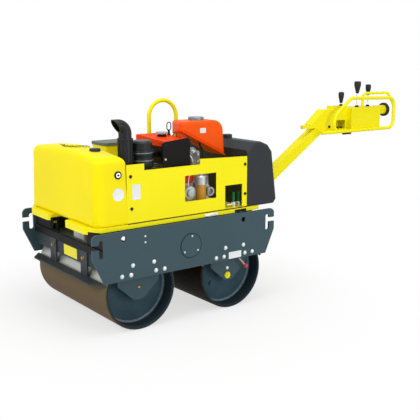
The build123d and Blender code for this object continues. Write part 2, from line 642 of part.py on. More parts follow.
def engine_block():
    """Crankcase on feet with gear cover, injection pump, finned barrel and cylinder head."""
    case = box_between(CASE_X0, CASE_X1, CASE_Y0, CASE_Y1, CASE_LOW, CASE_TOP)
    case = fillet(case.edges().filter_by(Axis.Y), CASE_ROUND)
    case += box_between(
        CASE_X0 - FOOT_INSET, CASE_X1 + FOOT_INSET, CASE_Y0 + FOOT_INSET, CASE_Y1 - FOOT_INSET,
        BASE_TOP, CASE_LOW + FOOT_INSET)
    case += hull_slab(GEAR_COVER, CASE_Y1, GEAR_COVER_Y)
    x, z, radius, length = PUMP
    case += rod_y(x, z, radius, GEAR_COVER_Y, GEAR_COVER_Y + length)
    case += rod_y(x, z, PUMP_NOSE[0], GEAR_COVER_Y, GEAR_COVER_Y + length + PUMP_NOSE[1])
    x, z, radius, length = OIL_RING
    case += rod_y(x, z, radius, CASE_Y1 - CASE_ROUND, GEAR_COVER_Y + length)
    case -= rod_y(x, z, OIL_RING_BORE, GEAR_COVER_Y, GEAR_COVER_Y + length)
    x, y, radius = BARREL
    case += rod_z(x, y, radius, CASE_TOP, SHROUD[4])
    for index in range(3):
        z = CASE_TOP + FIN_T + index * FIN_PITCH
        case += rod_z(x, y, FIN_R, z, z + FIN_T)
    head = box_between(*HEAD)
    case += chamfer(head.edges().filter_by(Axis.Y), CASE_ROUND)
    for x, z, radius, length in HEAD_BOSSES:
        case += rod_y(x, z, radius, HEAD[3], HEAD[3] + length)
    return case + (box_between(*SEAT, HEAD[5] - CASE_ROUND, FUEL_TOP) - fuel_envelope())


def engine_cowl():
    """Shallow cowl over the cylinder, sloping to the near side, and the painted casting below it."""
    outline = (
        (COWL_Y1, COWL_LOW), (COWL_Y1, COWL_TOP_NEAR), (COWL_Y0, COWL_TOP_FAR), (COWL_Y0, COWL_LOW),
    )
    cowl = end_slab(outline, COWL_X0, COWL_X1)
    cowl = fillet(cowl.edges().filter_by(Axis.X).group_by(Axis.Z)[-2:], COWL_ROUND)
    casting = box_between(*SIDE_CASTING)
    return Compound(children=[cowl, chamfer(casting.edges().filter_by(Axis.Y), COWL_ROUND)])


def engine_shroud():
    """Dark air shroud round the cylinder, under the cowl."""
    shroud = box_between(*SHROUD)
    return fillet(shroud.edges().filter_by(Axis.Z), COWL_ROUND)


def fuel_envelope():
    """Space that the fuel tank takes from its slanted underside upwards."""
    over = (FUEL_OUTLINE[0], (FUEL_OUTLINE[0][0], BAIL_TOP), (FUEL_OUTLINE[3][0], BAIL_TOP), FUEL_OUTLINE[3])
    return side_slab(over, FUEL_Y0, FUEL_Y1)


def fuel_tank():
    """Pressed fuel tank with a slanted underside, a round shoulder, round edges and a skewed front."""
    tank = side_slab(FUEL_OUTLINE, FUEL_Y0, FUEL_Y1)
    front = FUEL_OUTLINE[0][0]
    ahead = front + FUEL_SKEW
    wedge = ((front, FUEL_Y1), (ahead, FUEL_Y1), (ahead, FUEL_Y0), (front - FUEL_SKEW, FUEL_Y0))
    tank -= plan_slab(wedge, FUEL_OUTLINE[3][1], FUEL_TOP + CUT_OVER)
    rear_top = tank.edges().filter_by(Axis.Y).group_by(Axis.Z)[-1]
    tank = fillet(rear_top, FUEL_SHOULDER)
    tank = fillet(tank.edges().filter_by(Axis.Z).sort_by(Axis.Y)[-1], FUEL_CORNER)
    rim = [
        edge for edge in tank.edges() - tank.edges().filter_by(Axis.Y) - tank.edges().filter_by(Axis.Z)
        if edge.center().Z > FUEL_TOP - FUEL_SHOULDER
    ]
    return fillet(rim, FUEL_ROUND)


def fuel_cap():
    """Flat filler cap of the fuel tank."""
    cap = rod_z(FUEL_CAP_X, FUEL_CAP_Y, FUEL_CAP_R, FUEL_TOP, FUEL_TOP + FUEL_CAP_T)
    return chamfer(cap.edges().group_by(Axis.Z)[-1], CAP_EDGE)


def muffler():
    """Exhaust box beside the cowl behind a heat shield on spacers."""
    x0, x1, z0, z1 = MUFFLER
    box = box_between(x0, x1, MUFFLER_Y0, MUFFLER_Y1, z0, z1)
    box = fillet(box.edges().filter_by(Axis.Y), MUFFLER_ROUND)
    shield = side_slab(SHIELD_OUTLINE, SHIELD_OUT - SHIELD_T, SHIELD_OUT)
    shield = fillet(shield.edges().filter_by(Axis.Y).group_by(Axis.Z)[-2:], SHIELD_ROUND)
    for x, z in SPACERS:
        box += rod_y(x, z, SPACER_R, MUFFLER_Y1, SHIELD_OUT - SHIELD_T)
    x0, x1, z0, z1 = MUFFLER_FLANGE
    return box + shield + box_between(x0, x1, SHROUD[3], MUFFLER_Y0, z0, z1)


def air_filter():
    """Upright filter canister with two bands and the necks to cowl and intake stem."""
    can = rod_z(FILTER_X, FILTER_Y, FILTER_R - BAND_H, FILTER_LOW, FILTER_TOP)
    can = chamfer(can.edges().group_by(Axis.Z)[-1], FILTER_EDGE)
    for z in FILTER_BANDS:
        can += rod_z(FILTER_X, FILTER_Y, FILTER_R, z, z + BAND_T)
    can += rod_x(FILTER_Y - NECK_OFFSET, NECK_Z, NECK_R, SHROUD[1], FILTER_X)
    can += rod_between((FILTER_X, FILTER_Y, NECK_Z), (SNORKEL_X, SNORKEL_Y, NECK_Z), NECK_R)
    can += rod_z(FILTER_X, FILTER_Y, FILTER_POST_R, BASE_TOP, FILTER_LOW)
    return can + rod_z(FILTER_X, FILTER_Y, FILTER_R, BASE_TOP, BASE_TOP + FILTER_FOOT)


def snorkel_tube(radius):
    """Stem of one radius with its bend and a straight end that looks forwards."""
    axis_x = SNORKEL_X + SNORKEL_BEND_R
    stem = rod_z(SNORKEL_X, SNORKEL_Y, radius, SNORKEL_LOW, SNORKEL_BEND_Z)
    section = Plane.XY.offset(SNORKEL_BEND_Z) * Pos(SNORKEL_X, SNORKEL_Y) * Circle(radius)
    elbow = revolve(section, Axis((axis_x, SNORKEL_Y, SNORKEL_BEND_Z), (0, 1, 0)), 90)
    mouth = rod_x(SNORKEL_Y, SNORKEL_BEND_Z + SNORKEL_BEND_R, radius, axis_x, SNORKEL_TIP[0] + SNORKEL_R)
    return stem + elbow + mouth


def intake_snorkel():
    """Ribbed intake stem with a hooded mouth cut on the slant."""
    stem = snorkel_tube(SNORKEL_R)
    for index in range(RIB_COUNT):
        z = RIB_LOW + index * RIB_PITCH
        stem += rod_z(SNORKEL_X, SNORKEL_Y, RIB_R, z, z + RIB_T)
    slope_x = SNORKEL_TIP[0] - SNORKEL_LIP[0]
    slope_z = SNORKEL_TIP[1] - SNORKEL_LIP[1]
    low_z = SNORKEL_LIP[1] - slope_z
    below = (
        (SNORKEL_LIP[0] - slope_x, low_z), (SNORKEL_TIP[0] + slope_x, SNORKEL_TIP[1] + slope_z),
        (SNORKEL_TIP[0] + slope_x * 2, low_z),
    )
    cutter = side_slab(below, SNORKEL_Y - RIB_R, SNORKEL_Y + RIB_R)
    stem_guard = rod_z(SNORKEL_X, SNORKEL_Y, SNORKEL_R, SNORKEL_LOW, SNORKEL_LIP[1])
    floor = rod_z(SNORKEL_X, SNORKEL_Y, RIB_R, SNORKEL_LOW, SNORKEL_BEND_Z - RIB_R)
    hollow = snorkel_tube(SNORKEL_BORE) - floor
    return stem - (cutter - stem_guard) - hollow


def fuel_filter():
    """Cast head of the fuel filter on an arm from the gear cover."""
    x, y = FUEL_FILTER
    head = rod_z(x, y, HEAD_R, BOWL_TOP, HEAD_TOP)
    head = chamfer(head.edges().group_by(Axis.Z)[-1], BOWL_EDGE)
    head += rod_z(x, y, BOWL_R / 2, HEAD_TOP, HEAD_TOP + BOWL_EDGE)
    arm_y = GEAR_COVER_Y + FILTER_ARM_R
    head += rod_y(x, FILTER_ARM_Z, FILTER_ARM_R, GEAR_COVER_Y, arm_y + FILTER_ARM_R)
    head += rod_z(x, arm_y, FILTER_ARM_R, FILTER_ARM_Z, HEAD_TOP - BOWL_EDGE)
    return head + box_between(
        x - FILTER_ARM_R, x + FILTER_ARM_R, arm_y, y, HEAD_TOP - BOWL_R, HEAD_TOP - BOWL_EDGE)


def filter_bowl():
    """Clear bowl under the fuel filter's head."""
    x, y = FUEL_FILTER
    bowl = rod_z(x, y, BOWL_R, BOWL_LOW, BOWL_TOP)
    return chamfer(bowl.edges().group_by(Axis.Z)[0], BOWL_EDGE)


def valve_manifold():
    """Two valve bodies on the base plate, joined by a pipe."""
    bodies = rod_x(VALVE_Y, PIPE_Z, PIPE_R, VALVE_X[1], PIPE_END)
    for x in VALVE_X:
        bodies += rod_z(x, VALVE_Y, VALVE_R, BASE_TOP, VALVE_TOP)
    return bodies


def valve_handles():
    """Upright flat handles on the two valves."""
    width, thick, height = HANDLE
    grips = []
    for x in VALVE_X:
        grip = Box(width, thick, height)
        grips.append(grip.moved(Location((x, VALVE_Y, VALVE_TOP + height / 2))))
    return Compound(children=grips)


def oil_tank():
    """Oil tank on the far side of the engine bay."""
    tank = box_between(*OIL_TANK, BASE_TOP, OIL_TANK_TOP - OIL_LID_T)
    return fillet(tank.edges().filter_by(Axis.Z), OIL_TANK_ROUND)


def oil_tank_lid():
    """Dark lid that overhangs the oil tank."""
    x0, x1, y0, y1 = OIL_TANK
    lid = box_between(
        x0 - OIL_LID_LIP, x1 + OIL_LID_LIP, y0 - OIL_LID_LIP, y1 + OIL_LID_LIP,
        OIL_TANK_TOP - OIL_LID_T, OIL_TANK_TOP)
    return fillet(lid.edges().filter_by(Axis.Z), OIL_TANK_ROUND + OIL_LID_LIP)


def lifting_bail():
    """Round bar bent to a bow, with both legs down to the base plate."""
    radius = (BAIL_X1 - BAIL_X0) / 2
    mid = (BAIL_X0 + BAIL_X1) / 2
    spring_z = BAIL_TOP - radius
    bow = revolve(
        Plane.XY.offset(spring_z) * Pos(BAIL_X1, BAIL_Y) * Circle(BAIL_R),
        Axis((mid, BAIL_Y, spring_z), (0, -1, 0)), 180)
    for x in (BAIL_X0, BAIL_X1):
        bow += rod_z(x, BAIL_Y, BAIL_R, BASE_TOP, spring_z)
        bow += rod_z(x, BAIL_Y, BAIL_R * 2, BASE_TOP, BASE_TOP + BAIL_FOOT)
    return bow


def pivot_bracket():
    """Two ears on the rear cross plate, with the drawbar's pin between them."""
    root_x = -CROSS_FACE - EAR_ROOT_R
    outline = (
        (PIVOT_X, PIVOT_Z, EAR_R), (root_x, CROSS_DIP_Z - EAR_ROOT_R, EAR_ROOT_R),
        (root_x, CROSS_LOW + EAR_ROOT_R, EAR_ROOT_R),
    )
    inner = DRAW_HALF + MOVE_GAP
    ear = hull_slab(outline, inner, inner + EAR_T)
    ear &= box_between(PIVOT_X - EAR_R, -CROSS_FACE, inner, inner + EAR_T, CROSS_LOW, PIVOT_Z + EAR_R)
    ear -= box_between(
        -CROSS_FACE - TIE_BAR_T - FACE_GAP, -CROSS_FACE, inner, inner + EAR_T,
        CROSS_DIP_Z - TIE_BAR_H - FACE_GAP, CROSS_DIP_Z)
    pin = rod_y(PIVOT_X, PIVOT_Z, PIN_R, -inner - EAR_T, inner + EAR_T)
    return ear + ear.mirror(Plane.XZ) + pin


def drawbar_form(half_width, half_depth, start):
    """Square arm from near the pivot to the console, at the drawbar's slope."""
    arm = box_between(-DRAW_LENGTH, start, -half_width, half_width, -half_depth, half_depth)
    return arm.rotate(Axis.Y, DRAW_ANGLE).moved(Location((PIVOT_X, 0, PIVOT_Z)))


def drawbar():
    """Square tube, round and solid at the pivot, drilled for its pin."""
    depth = DRAW_DEPTH / 2
    arm = drawbar_form(DRAW_HALF, depth, 0.0)
    arm += rod_y(PIVOT_X, PIVOT_Z, depth, -DRAW_HALF, DRAW_HALF)
    arm -= rod_y(PIVOT_X, PIVOT_Z, PIN_R + RUN_FIT, -DRAW_HALF, DRAW_HALF)
    return arm - drawbar_form(DRAW_HALF - DRAW_WALL, depth - DRAW_WALL, -DRAW_DEPTH)


def console():
    """Sheet housing: a neck round the drawbar's end, a wider box and the stop pad's round housing."""
    neck_face = make_face(Polyline(*[(x, 0.0, z) for x, z in NECK_OUTLINE], close=True))
    neck_room = offset(neck_face, -SHEET)
    box = box_between(CONSOLE_REAR, BOX_START, -CONSOLE_HALF, CONSOLE_HALF, CONSOLE_LOW, CONSOLE_TOP)
    box_room = box_between(
        CONSOLE_REAR + SHEET, BOX_START - SHEET, SHEET - CONSOLE_HALF, CONSOLE_HALF - SHEET,
        CONSOLE_LOW + SHEET, CONSOLE_TOP - SHEET)
    neck = extrude(neck_face, NECK_HALF, dir=(0, 1, 0), both=True)
    room = extrude(neck_room, NECK_HALF - SHEET, dir=(0, 1, 0), both=True)
    body = neck + box + rod_x(HUB_Y, HUB_Z, HUB_R, HUB_END, CONSOLE_REAR + SHEET)
    body -= room
    body -= box_room
    body += box_between(*LUG)
    x0, x1, z0, z1 = POCKET
    body -= box_between(x0, x1, NECK_HALF - SHEET - CUT_OVER, NECK_HALF + CUT_OVER, z0, z1)
    return body - drawbar_form(DRAW_HALF, DRAW_DEPTH / 2, 0.0)


def guard_loop():
    """Round tube bent to a closed loop beside the console, with a bottom rail and a brace tube."""
    points = [(x, LOOP_Y, z) for x, z in LOOP_PATH]
    path = FilletPolyline(*points, radius=LOOP_BEND, close=True)
    section = Plane(path @ 0.02, z_dir=path % 0.02) * Circle(LOOP_R)
    loop = sweep(section, path)
    loop += rod_x(LOOP_Y, LOOP_LOW, LOOP_R, LOOP_FRONT - LOOP_BEND, LOOP_LEAD)
    for x, y_low in LOOP_TABS:
        half = TAB / 2
        loop += box_between(x - half, x + half, y_low, LOOP_Y, LOOP_LOW, LOOP_LOW + TAB)
    return loop + brace_tube()


def brace_tube():
    """Tube from the console's top to the rear upright of the loop."""
    reach = Vector(LOOP_REAR - BRACE_X, LOOP_Y - BRACE_Y, 0)
    drop = LOOP_PATH[3][1] - LOOP_BEND - CONSOLE_TOP
    rise = BRACE_RISE - CONSOLE_TOP
    plane = Plane((BRACE_X, BRACE_Y, CONSOLE_TOP), x_dir=reach, z_dir=reach.cross(Vector(0, 0, 1)))
    run = reach.length
    route = plane * FilletPolyline((0, 0), (0, rise), (run - BRACE_BEND * 2, rise), (run, drop), radius=BRACE_BEND)
    return sweep(Plane(route @ 0, z_dir=route % 0) * Circle(BRACE_R), route)


def lever_rods():
    """Thin rods of the control levers."""
    rods = [rod_z(x, KNOB_Y, ROD_R, foot, low) for x, foot, low, high, radius in KNOB_TABLE]
    return Compound(children=rods)


def lever_knobs():
    """Grips on the control levers, narrow at the rod and widest near the top."""
    knobs = []
    for x, foot, low, high, radius in KNOB_TABLE:
        profile = Polyline(
            (0, 0, low), (KNOB_STEM_R, 0, low), (radius, 0, high - KNOB_HEAD), (radius, 0, high - KNOB_EDGE),
            (radius - KNOB_EDGE, 0, high), (0, 0, high), close=True)
        knobs.append(revolve(make_face(profile), Axis.Z).moved(Location((x, KNOB_Y, 0))))
    return Compound(children=knobs)


def stop_pad():
    """Round pad on the end of its housing."""
    pad = rod_x(HUB_Y, HUB_Z, PAD_R, HUB_END - PAD_T, HUB_END)
    return chamfer(pad.edges().sort_by(Axis.X)[0], KNOB_EDGE)


AXLES = (("front", HALF_BASE, FRONT_PLUG), ("rear", -HALF_BASE, REAR_CAP))
ENDS = (("front", 1), ("rear", -1))
SIDES = (("left", 1), ("right", -1))

nodes = {}
for axle_name, axle_x, cap in AXLES:
    nodes[axle_name + "_drum"] = drum(axle_x, PLUG_TURN[axle_name])
    nodes[axle_name + "_hub_caps"] = hub_caps(axle_x, cap)
    for side_name, side in SIDES:
        nodes[axle_name + "_arm_" + side_name] = drum_arm(axle_x, side)
        nodes[axle_name + "_buffers_" + side_name] = arm_buffers(axle_x, side)
for end_name, end in ENDS:
    nodes[end_name + "_cross_plate"] = cross_plate(end)
    nodes[end_name + "_tie_bar"] = tie_bar(end)
    nodes[end_name + "_scraper"] = scraper(end)
for side_name, side in SIDES:
    nodes["side_plate_" + side_name] = side_plate(side)
    nodes["side_cover_" + side_name] = side_cover(side)
    nodes["side_panel_" + side_name] = side_panel(side)
nodes["brake_lever"] = brake_lever()
nodes["base_plate"] = base_plate()
nodes["rubber_blocks"] = rubber_blocks()
nodes["outlet_box"] = outlet_box()
nodes["water_tank"] = water_tank()
nodes["tank_cap"] = tank_cap() - nodes["water_tank"]
nodes["rear_box"] = rear_box()
nodes["box_cap"] = box_cap()
nodes["engine_block"] = engine_block()
nodes["engine_cowl"] = engine_cowl()
nodes["engine_shroud"] = engine_shroud()
nodes["fuel_tank"] = fuel_tank()
nodes["fuel_cap"] = fuel_cap()
nodes["muffler"] = muffler()
nodes["intake_snorkel"] = intake_snorkel()
nodes["air_filter"] = air_filter() - nodes["intake_snorkel"]
nodes["fuel_filter"] = fuel_filter()
nodes["filter_bowl"] = filter_bowl()
nodes["valve_manifold"] = valve_manifold()
nodes["valve_handles"] = valve_handles()
nodes["oil_tank"] = oil_tank()
nodes["oil_tank_lid"] = oil_tank_lid()
nodes["lifting_bail"] = lifting_bail()
nodes["pivot_bracket"] = pivot_bracket()
nodes["drawbar"] = drawbar()
nodes["console"] = console()
nodes["guard_loop"] = guard_loop()
nodes["lever_rods"] = lever_rods()
nodes["lever_knobs"] = lever_knobs()
nodes["stop_pad"] = stop_pad()

os.makedirs("parts", exist_ok=True)
for name, shape in nodes.items():
    export_step(shape.moved(Location((SHIFT_X, 0, 0))), "parts/" + name + ".step")
print("shift", SHIFT_X)
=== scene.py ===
"""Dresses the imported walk-behind roller with its finishes, fasteners and blank labels in a plain studio."""

import json
import logging
import math
from dataclasses import dataclass, field
from enum import Enum
from typing import Callable, Dict, List, Optional, Sequence, Tuple, Union

import bmesh
import bpy
from mathutils import Matrix, Vector

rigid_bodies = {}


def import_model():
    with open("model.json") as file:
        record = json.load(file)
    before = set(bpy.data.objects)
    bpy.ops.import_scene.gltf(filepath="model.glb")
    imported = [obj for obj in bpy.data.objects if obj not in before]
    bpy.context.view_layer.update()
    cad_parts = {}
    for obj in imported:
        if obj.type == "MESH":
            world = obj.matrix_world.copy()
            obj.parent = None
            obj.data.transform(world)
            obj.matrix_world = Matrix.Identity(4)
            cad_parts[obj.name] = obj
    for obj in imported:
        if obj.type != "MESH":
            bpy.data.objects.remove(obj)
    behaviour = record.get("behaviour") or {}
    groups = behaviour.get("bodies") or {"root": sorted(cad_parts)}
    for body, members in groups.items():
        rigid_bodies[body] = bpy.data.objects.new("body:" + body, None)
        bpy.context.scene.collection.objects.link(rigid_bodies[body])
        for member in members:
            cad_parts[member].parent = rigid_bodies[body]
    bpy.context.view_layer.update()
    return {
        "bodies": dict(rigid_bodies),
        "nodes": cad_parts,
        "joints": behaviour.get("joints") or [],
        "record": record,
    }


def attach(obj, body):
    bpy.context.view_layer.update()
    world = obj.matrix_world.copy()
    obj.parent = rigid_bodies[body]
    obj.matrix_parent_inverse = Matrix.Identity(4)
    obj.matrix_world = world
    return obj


log = logging.getLogger("roller")

Colour = Tuple[float, float, float]
Point = Tuple[float, float, float]
Seat = Tuple[Point, Point]              # a place and the way out of the surface there
Test = Callable[[Vector, Vector], bool]
Pair = Tuple[float, float]
Pairs = Sequence[Pair]
Points = Sequence[Point]

SHIFT = 0.672           # row frame x of the point midway between the axles, in metres
AXLE = 0.2835           # each axle from that point
MM = 0.001
LEFT: Point = (0.0, 1.0, 0.0)
RIGHT: Point = (0.0, -1.0, 0.0)
FRONT: Point = (1.0, 0.0, 0.0)
REAR: Point = (-1.0, 0.0, 0.0)
UP: Point = (0.0, 0.0, 1.0)
SIDES = (("left", LEFT), ("right", RIGHT))
STRAIGHT = 0.9          # least share of a way that a face or edge has to follow it
EVEN: Point = (1.0, 1.0, 1.0)
WHITE: Colour = (1.0, 1.0, 1.0)


def rgb(red: int, green: int, blue: int) -> Colour:
    """Turns a display colour of 0 to 255 into scene-linear numbers.

    Args:
        red: red part, 0 to 255.
        green: green part, 0 to 255.
        blue: blue part, 0 to 255.

    Returns:
        The same colour in linear light.
    """
    def linear(value: int) -> float:
        """One part in linear light."""
        part = value / 255.0
        return part / 12.92 if part <= 0.04045 else ((part + 0.055) / 1.055) ** 2.4
    return linear(red), linear(green), linear(blue)


def spot(x: float, y: float, z: float) -> Point:
    """Takes machine millimetres to row-frame metres.

    Args:
        x: station from the middle of the wheelbase.
        y: offset to the left.
        z: height over the floor.

    Returns:
        The point in the row frame.
    """
    return x * MM + SHIFT, y * MM, z * MM


def seats_on(way: Point, out: float, stations: Pairs) -> List[Seat]:
    """Seats on an upright face at one side.

    Args:
        way: LEFT or RIGHT.
        out: the face from the middle plane, in millimetres.
        stations: x and z of each seat, in millimetres.

    Returns:
        The seats.
    """
    return [(spot(x, way[1] * out, z), way) for x, z in stations]


def both(x: float, out: float, z: float) -> List[Seat]:
    """A seat on the left and the same on the right.

    Args:
        x: station in millimetres.
        out: the faces from the middle plane.
        z: height.

    Returns:
        The two seats.
    """
    return seats_on(LEFT, out, [(x, z)]) + seats_on(RIGHT, out, [(x, z)])


def faces(way: Point) -> Test:
    """A test for faces that look one way."""
    return lambda middle, normal: normal.dot(way) > STRAIGHT


def runs(way: Point) -> Test:
    """A test for edges that run along an axis, or faces that look along it, to either end."""
    return lambda middle, run: abs(run.dot(way)) > STRAIGHT


class Sock:
    """Wraps a node's output, so that shader maths reads as Python."""

    def __init__(self, graph: "Graph", socket: bpy.types.NodeSocket) -> None:
        """Keeps the graph and the socket."""
        self.graph = graph
        self.socket = socket

    def _math(self, operation: str, first: "Value", second: "Value", clamp: bool = False) -> "Sock":
        """Adds one Math node.

        Args:
            operation: Blender's name of the operation.
            first: first value or socket.
            second: second value or socket.
            clamp: True to hold the result between 0 and 1.

        Returns:
            The node's result.
        """
        settings = {"operation": operation, "use_clamp": clamp}
        return self.graph.node("ShaderNodeMath", settings, {0: first, 1: second})

    def __add__(self, other: "Value") -> "Sock":
        """Sum."""
        return self._math("ADD", self, other)

    __radd__ = __add__

    def __sub__(self, other: "Value") -> "Sock":
        """Difference."""
        return self._math("SUBTRACT", self, other)

    def __rsub__(self, other: "Value") -> "Sock":
        """Difference from a number."""
        return self._math("SUBTRACT", other, self)

    def __mul__(self, other: "Value") -> "Sock":
        """Product."""
        return self._math("MULTIPLY", self, other)

    __rmul__ = __mul__

    def __truediv__(self, other: "Value") -> "Sock":
        """Quotient."""
        return self._math("DIVIDE", self, other)

    def __pow__(self, other: "Value") -> "Sock":
        """Power."""
        return self._math("POWER", self, other)

    def held(self) -> "Sock":
        """The value held between 0 and 1."""
        return self._math("ADD", self, 0.0, clamp=True)

    def rise(self, low: float, high: float) -> "Sock":
        """Smooth step from 0 at low to 1 at high.

        Args:
            low: value where the step starts.
            high: value where the step ends.

        Returns:
            The step.
        """
        settings = {"interpolation_type": "SMOOTHSTEP"}
        return self.graph.node("ShaderNodeMapRange", settings, {0: self, 1: low, 2: high, 3: 0.0, 4: 1.0})


Value = Union[Sock, float]


class Graph:
    """A node tree under construction."""

    def __init__(self, tree: bpy.types.NodeTree) -> None:
        """Empties the tree."""
        self.tree = tree
        self.tree.nodes.clear()

    def node(self, kind: str, settings: Optional[Dict] = None, sockets: Optional[Dict] = None,
             out: Union[int, str] = 0) -> Sock:
        """Adds a node.

        Args:
            kind: Blender's node type.
            settings: attributes to set first.
            sockets: values or links of input sockets, by index or name.
            out: which output to return.

        Returns:
            The wrapped output.
        """
        made = self.tree.nodes.new(kind)
        for key, value in (settings or {}).items():
            setattr(made, key, value)
        for key, value in (sockets or {}).items():
            self.feed(made.inputs[key], value)
        return Sock(self, made.outputs[out] if made.outputs else None)

    def feed(self, target: bpy.types.NodeSocket, value: Union[Value, Colour]) -> None:
        """Links a socket or sets its value.

        Args:
            target: input socket.
            value: wrapped output, number or colour.
        """
        if isinstance(value, Sock):
            self.tree.links.new(value.socket, target)
        elif isinstance(value, tuple) and target.type == "RGBA":
            target.default_value = (*value, 1.0)
        else:
            target.default_value = value

    def seen(self) -> Sock:
        """1 for what the eye sees straight, in gloss or through glass, and 0 for light on surfaces."""
        kinds = ("Camera", "Glossy", "Transmission")
        rays = [self.node("ShaderNodeLightPath", out=f"Is {kind} Ray") for kind in kinds]
        return (rays[0] + rays[1] + rays[2]).held()


class Shader(Graph):
    """One material under construction."""

    def __init__(self, name: str) -> None:
        """Starts a node tree with its output and principled shader."""
        self.material = bpy.data.materials.new(name)
        self.material.use_nodes = True
        super().__init__(self.material.node_tree)
        self.output = self.tree.nodes.new("ShaderNodeOutputMaterial")
        self.body = self.tree.nodes.new("ShaderNodeBsdfPrincipled")
        self.tree.links.new(self.body.outputs[0], self.output.inputs[0])

    def place(self, scale: Point = EVEN) -> Sock:
        """Object coordinates, stretched.

        Args:
            scale: factor on each axis.

        Returns:
            The coordinates.
        """
        raw = self.node("ShaderNodeTexCoord", out="Object")
        if scale == EVEN:
            return raw
        return self.node("ShaderNodeMapping", None, {"Vector": raw, "Scale": scale})

    def along(self, axis: str) -> Sock:
        """One of the object coordinates, X, Y or Z."""
        return self.node("ShaderNodeSeparateXYZ", None, {0: self.place()}, axis)

    def noise(self, scale: float, detail: float = 3.0, rough: float = 0.5, stretch: Point = EVEN) -> Sock:
        """Fractal noise on object coordinates.

        Args:
            scale: repeats a metre.
            detail: octaves.
            rough: strength of the fine octaves.
            stretch: factor on each axis.

        Returns:
            Noise around 0.5.
        """
        sockets = {"Vector": self.place(stretch), "Scale": scale, "Detail": detail, "Roughness": rough}
        return self.node("ShaderNodeTexNoise", None, sockets)

    def cells(self, scale: float) -> Sock:
        """Distance to the nearest point of a cell pattern.

        Args:
            scale: cells a metre.

        Returns:
            The distance.
        """
        return self.node("ShaderNodeTexVoronoi", None, {"Vector": self.place(), "Scale": scale})

    def mix(self, first: Union[Sock, Colour], second: Union[Sock, Colour], share: Value) -> Sock:
        """Mixes two colours.

        Args:
            first: colour at share 0.
            second: colour at share 1.
            share: the factor.

        Returns:
            The mixed colour.
        """
        settings = {"data_type": "RGBA"}
        return self.node("ShaderNodeMix", settings, {0: share, 6: first, 7: second}, 2)

    def up(self) -> Sock:
        """How far a face looks up, 0 to 1."""
        normal = self.node("ShaderNodeNewGeometry", out="Normal")
        return self.node("ShaderNodeSeparateXYZ", None, {0: normal}, "Z").held()

    def edge(self, radius: float) -> Sock:
        """Mask of edges, from the difference of a rounded normal and the true one.

        Args:
            radius: width of the edge in metres.

        Returns:
            0 on flats, rising at edges.
        """
        soft = self.node("ShaderNodeBevel", {"samples": 4}, {"Radius": radius})
        hard = self.node("ShaderNodeNewGeometry", out="Normal")
        same = self.node("ShaderNodeVectorMath", {"operation": "DOT_PRODUCT"}, {0: soft, 1: hard}, "Value")
        return (1.0 - same).held()

    def dress(self, **values: Union[Value, Colour]) -> None:
        """Feeds sockets of the principled shader.

        Args:
            values: sockets by name, with underscores for spaces.
        """
        for key, value in values.items():
            self.feed(self.body.inputs[key.replace("_", " ").title().replace("Ior", "IOR")], value)

    def bump(self, height: Sock, depth: float, strength: float = 1.0) -> None:
        """Bump on the whole surface.

        Args:
            height: height map around 0.5.
            depth: depth of the relief in metres.
            strength: share of it that shows.
        """
        sockets = {"Height": height, "Distance": depth, "Strength": strength}
        relief = self.node("ShaderNodeBump", None, sockets)
        self.feed(self.body.inputs["Normal"], relief)


@dataclass(frozen=True)
class Finish:
    """A finish that can be made into a material."""

    name: str

    def make(self) -> bpy.types.Material:
        """The finished material."""
        raise NotImplementedError


@dataclass(frozen=True)
class Paint(Finish):
    """Sprayed paint with faint mottling, dust, and wear along edges."""

    colour: Colour = (0.8, 0.8, 0.8)
    dusty: Colour = (0.6, 0.58, 0.5)
    chipped: Colour = (0.2, 0.2, 0.2)
    roughness: float = 0.34
    dust: float = 0.12
    wear: float = 0.5
    gloss: float = 0.25
    mottle: float = 0.06

    def make(self) -> bpy.types.Material:
        """Paint with orange peel, dust on top faces and chipped edges."""
        shade = Shader(self.name)
        broad = shade.noise(3.0, 4.0)
        fine = shade.noise(60.0, 5.0, 0.6)
        dark = tuple(part * (1.0 - self.mottle) for part in self.colour)
        base = shade.mix(dark, self.colour, broad.rise(0.30, 0.62))
        dust = (shade.up() * 0.7 + 0.3) * fine.rise(0.42, 0.78) * self.dust
        base = shade.mix(base, self.dusty, dust)
        worn = (shade.edge(0.0015).rise(0.03, 0.22) * fine.rise(0.50, 0.62) * self.wear).held()
        base = shade.mix(base, self.chipped, worn)
        shade.dress(base_color=base, specular_ior_level=self.gloss,
                    roughness=(self.roughness + broad * 0.12 + dust * 0.5 + worn * 0.2).held())
        shade.bump(shade.noise(420.0, 2.0), 0.0001, 0.25)
        return shade.material


@dataclass(frozen=True)
class Moulded(Finish):
    """Moulded plastic with fine grain and scuffs."""

    colour: Colour = (0.05, 0.05, 0.05)
    scuffed: Colour = (0.2, 0.2, 0.2)
    roughness: float = 0.5
    grain: float = 900.0
    scuff: float = 0.25
    gloss: float = 0.25
    mottle: float = 0.10

    def make(self) -> bpy.types.Material:
        """Grained plastic, paler where it is rubbed."""
        shade = Shader(self.name)
        broad = shade.noise(4.0, 4.0)
        fine = shade.noise(45.0, 6.0, 0.65)
        dark = tuple(part * (1.0 - self.mottle) for part in self.colour)
        base = shade.mix(dark, self.colour, broad.rise(0.32, 0.64))
        rub = ((fine.rise(0.55, 0.80) + shade.edge(0.006).rise(0.02, 0.2)) * self.scuff).held()
        base = shade.mix(base, self.scuffed, rub)
        shade.dress(base_color=base, specular_ior_level=self.gloss,
                    roughness=(self.roughness + broad * 0.10 + rub * 0.15).held())
        shade.bump(shade.cells(self.grain), 0.0002, 0.35)
        return shade.material


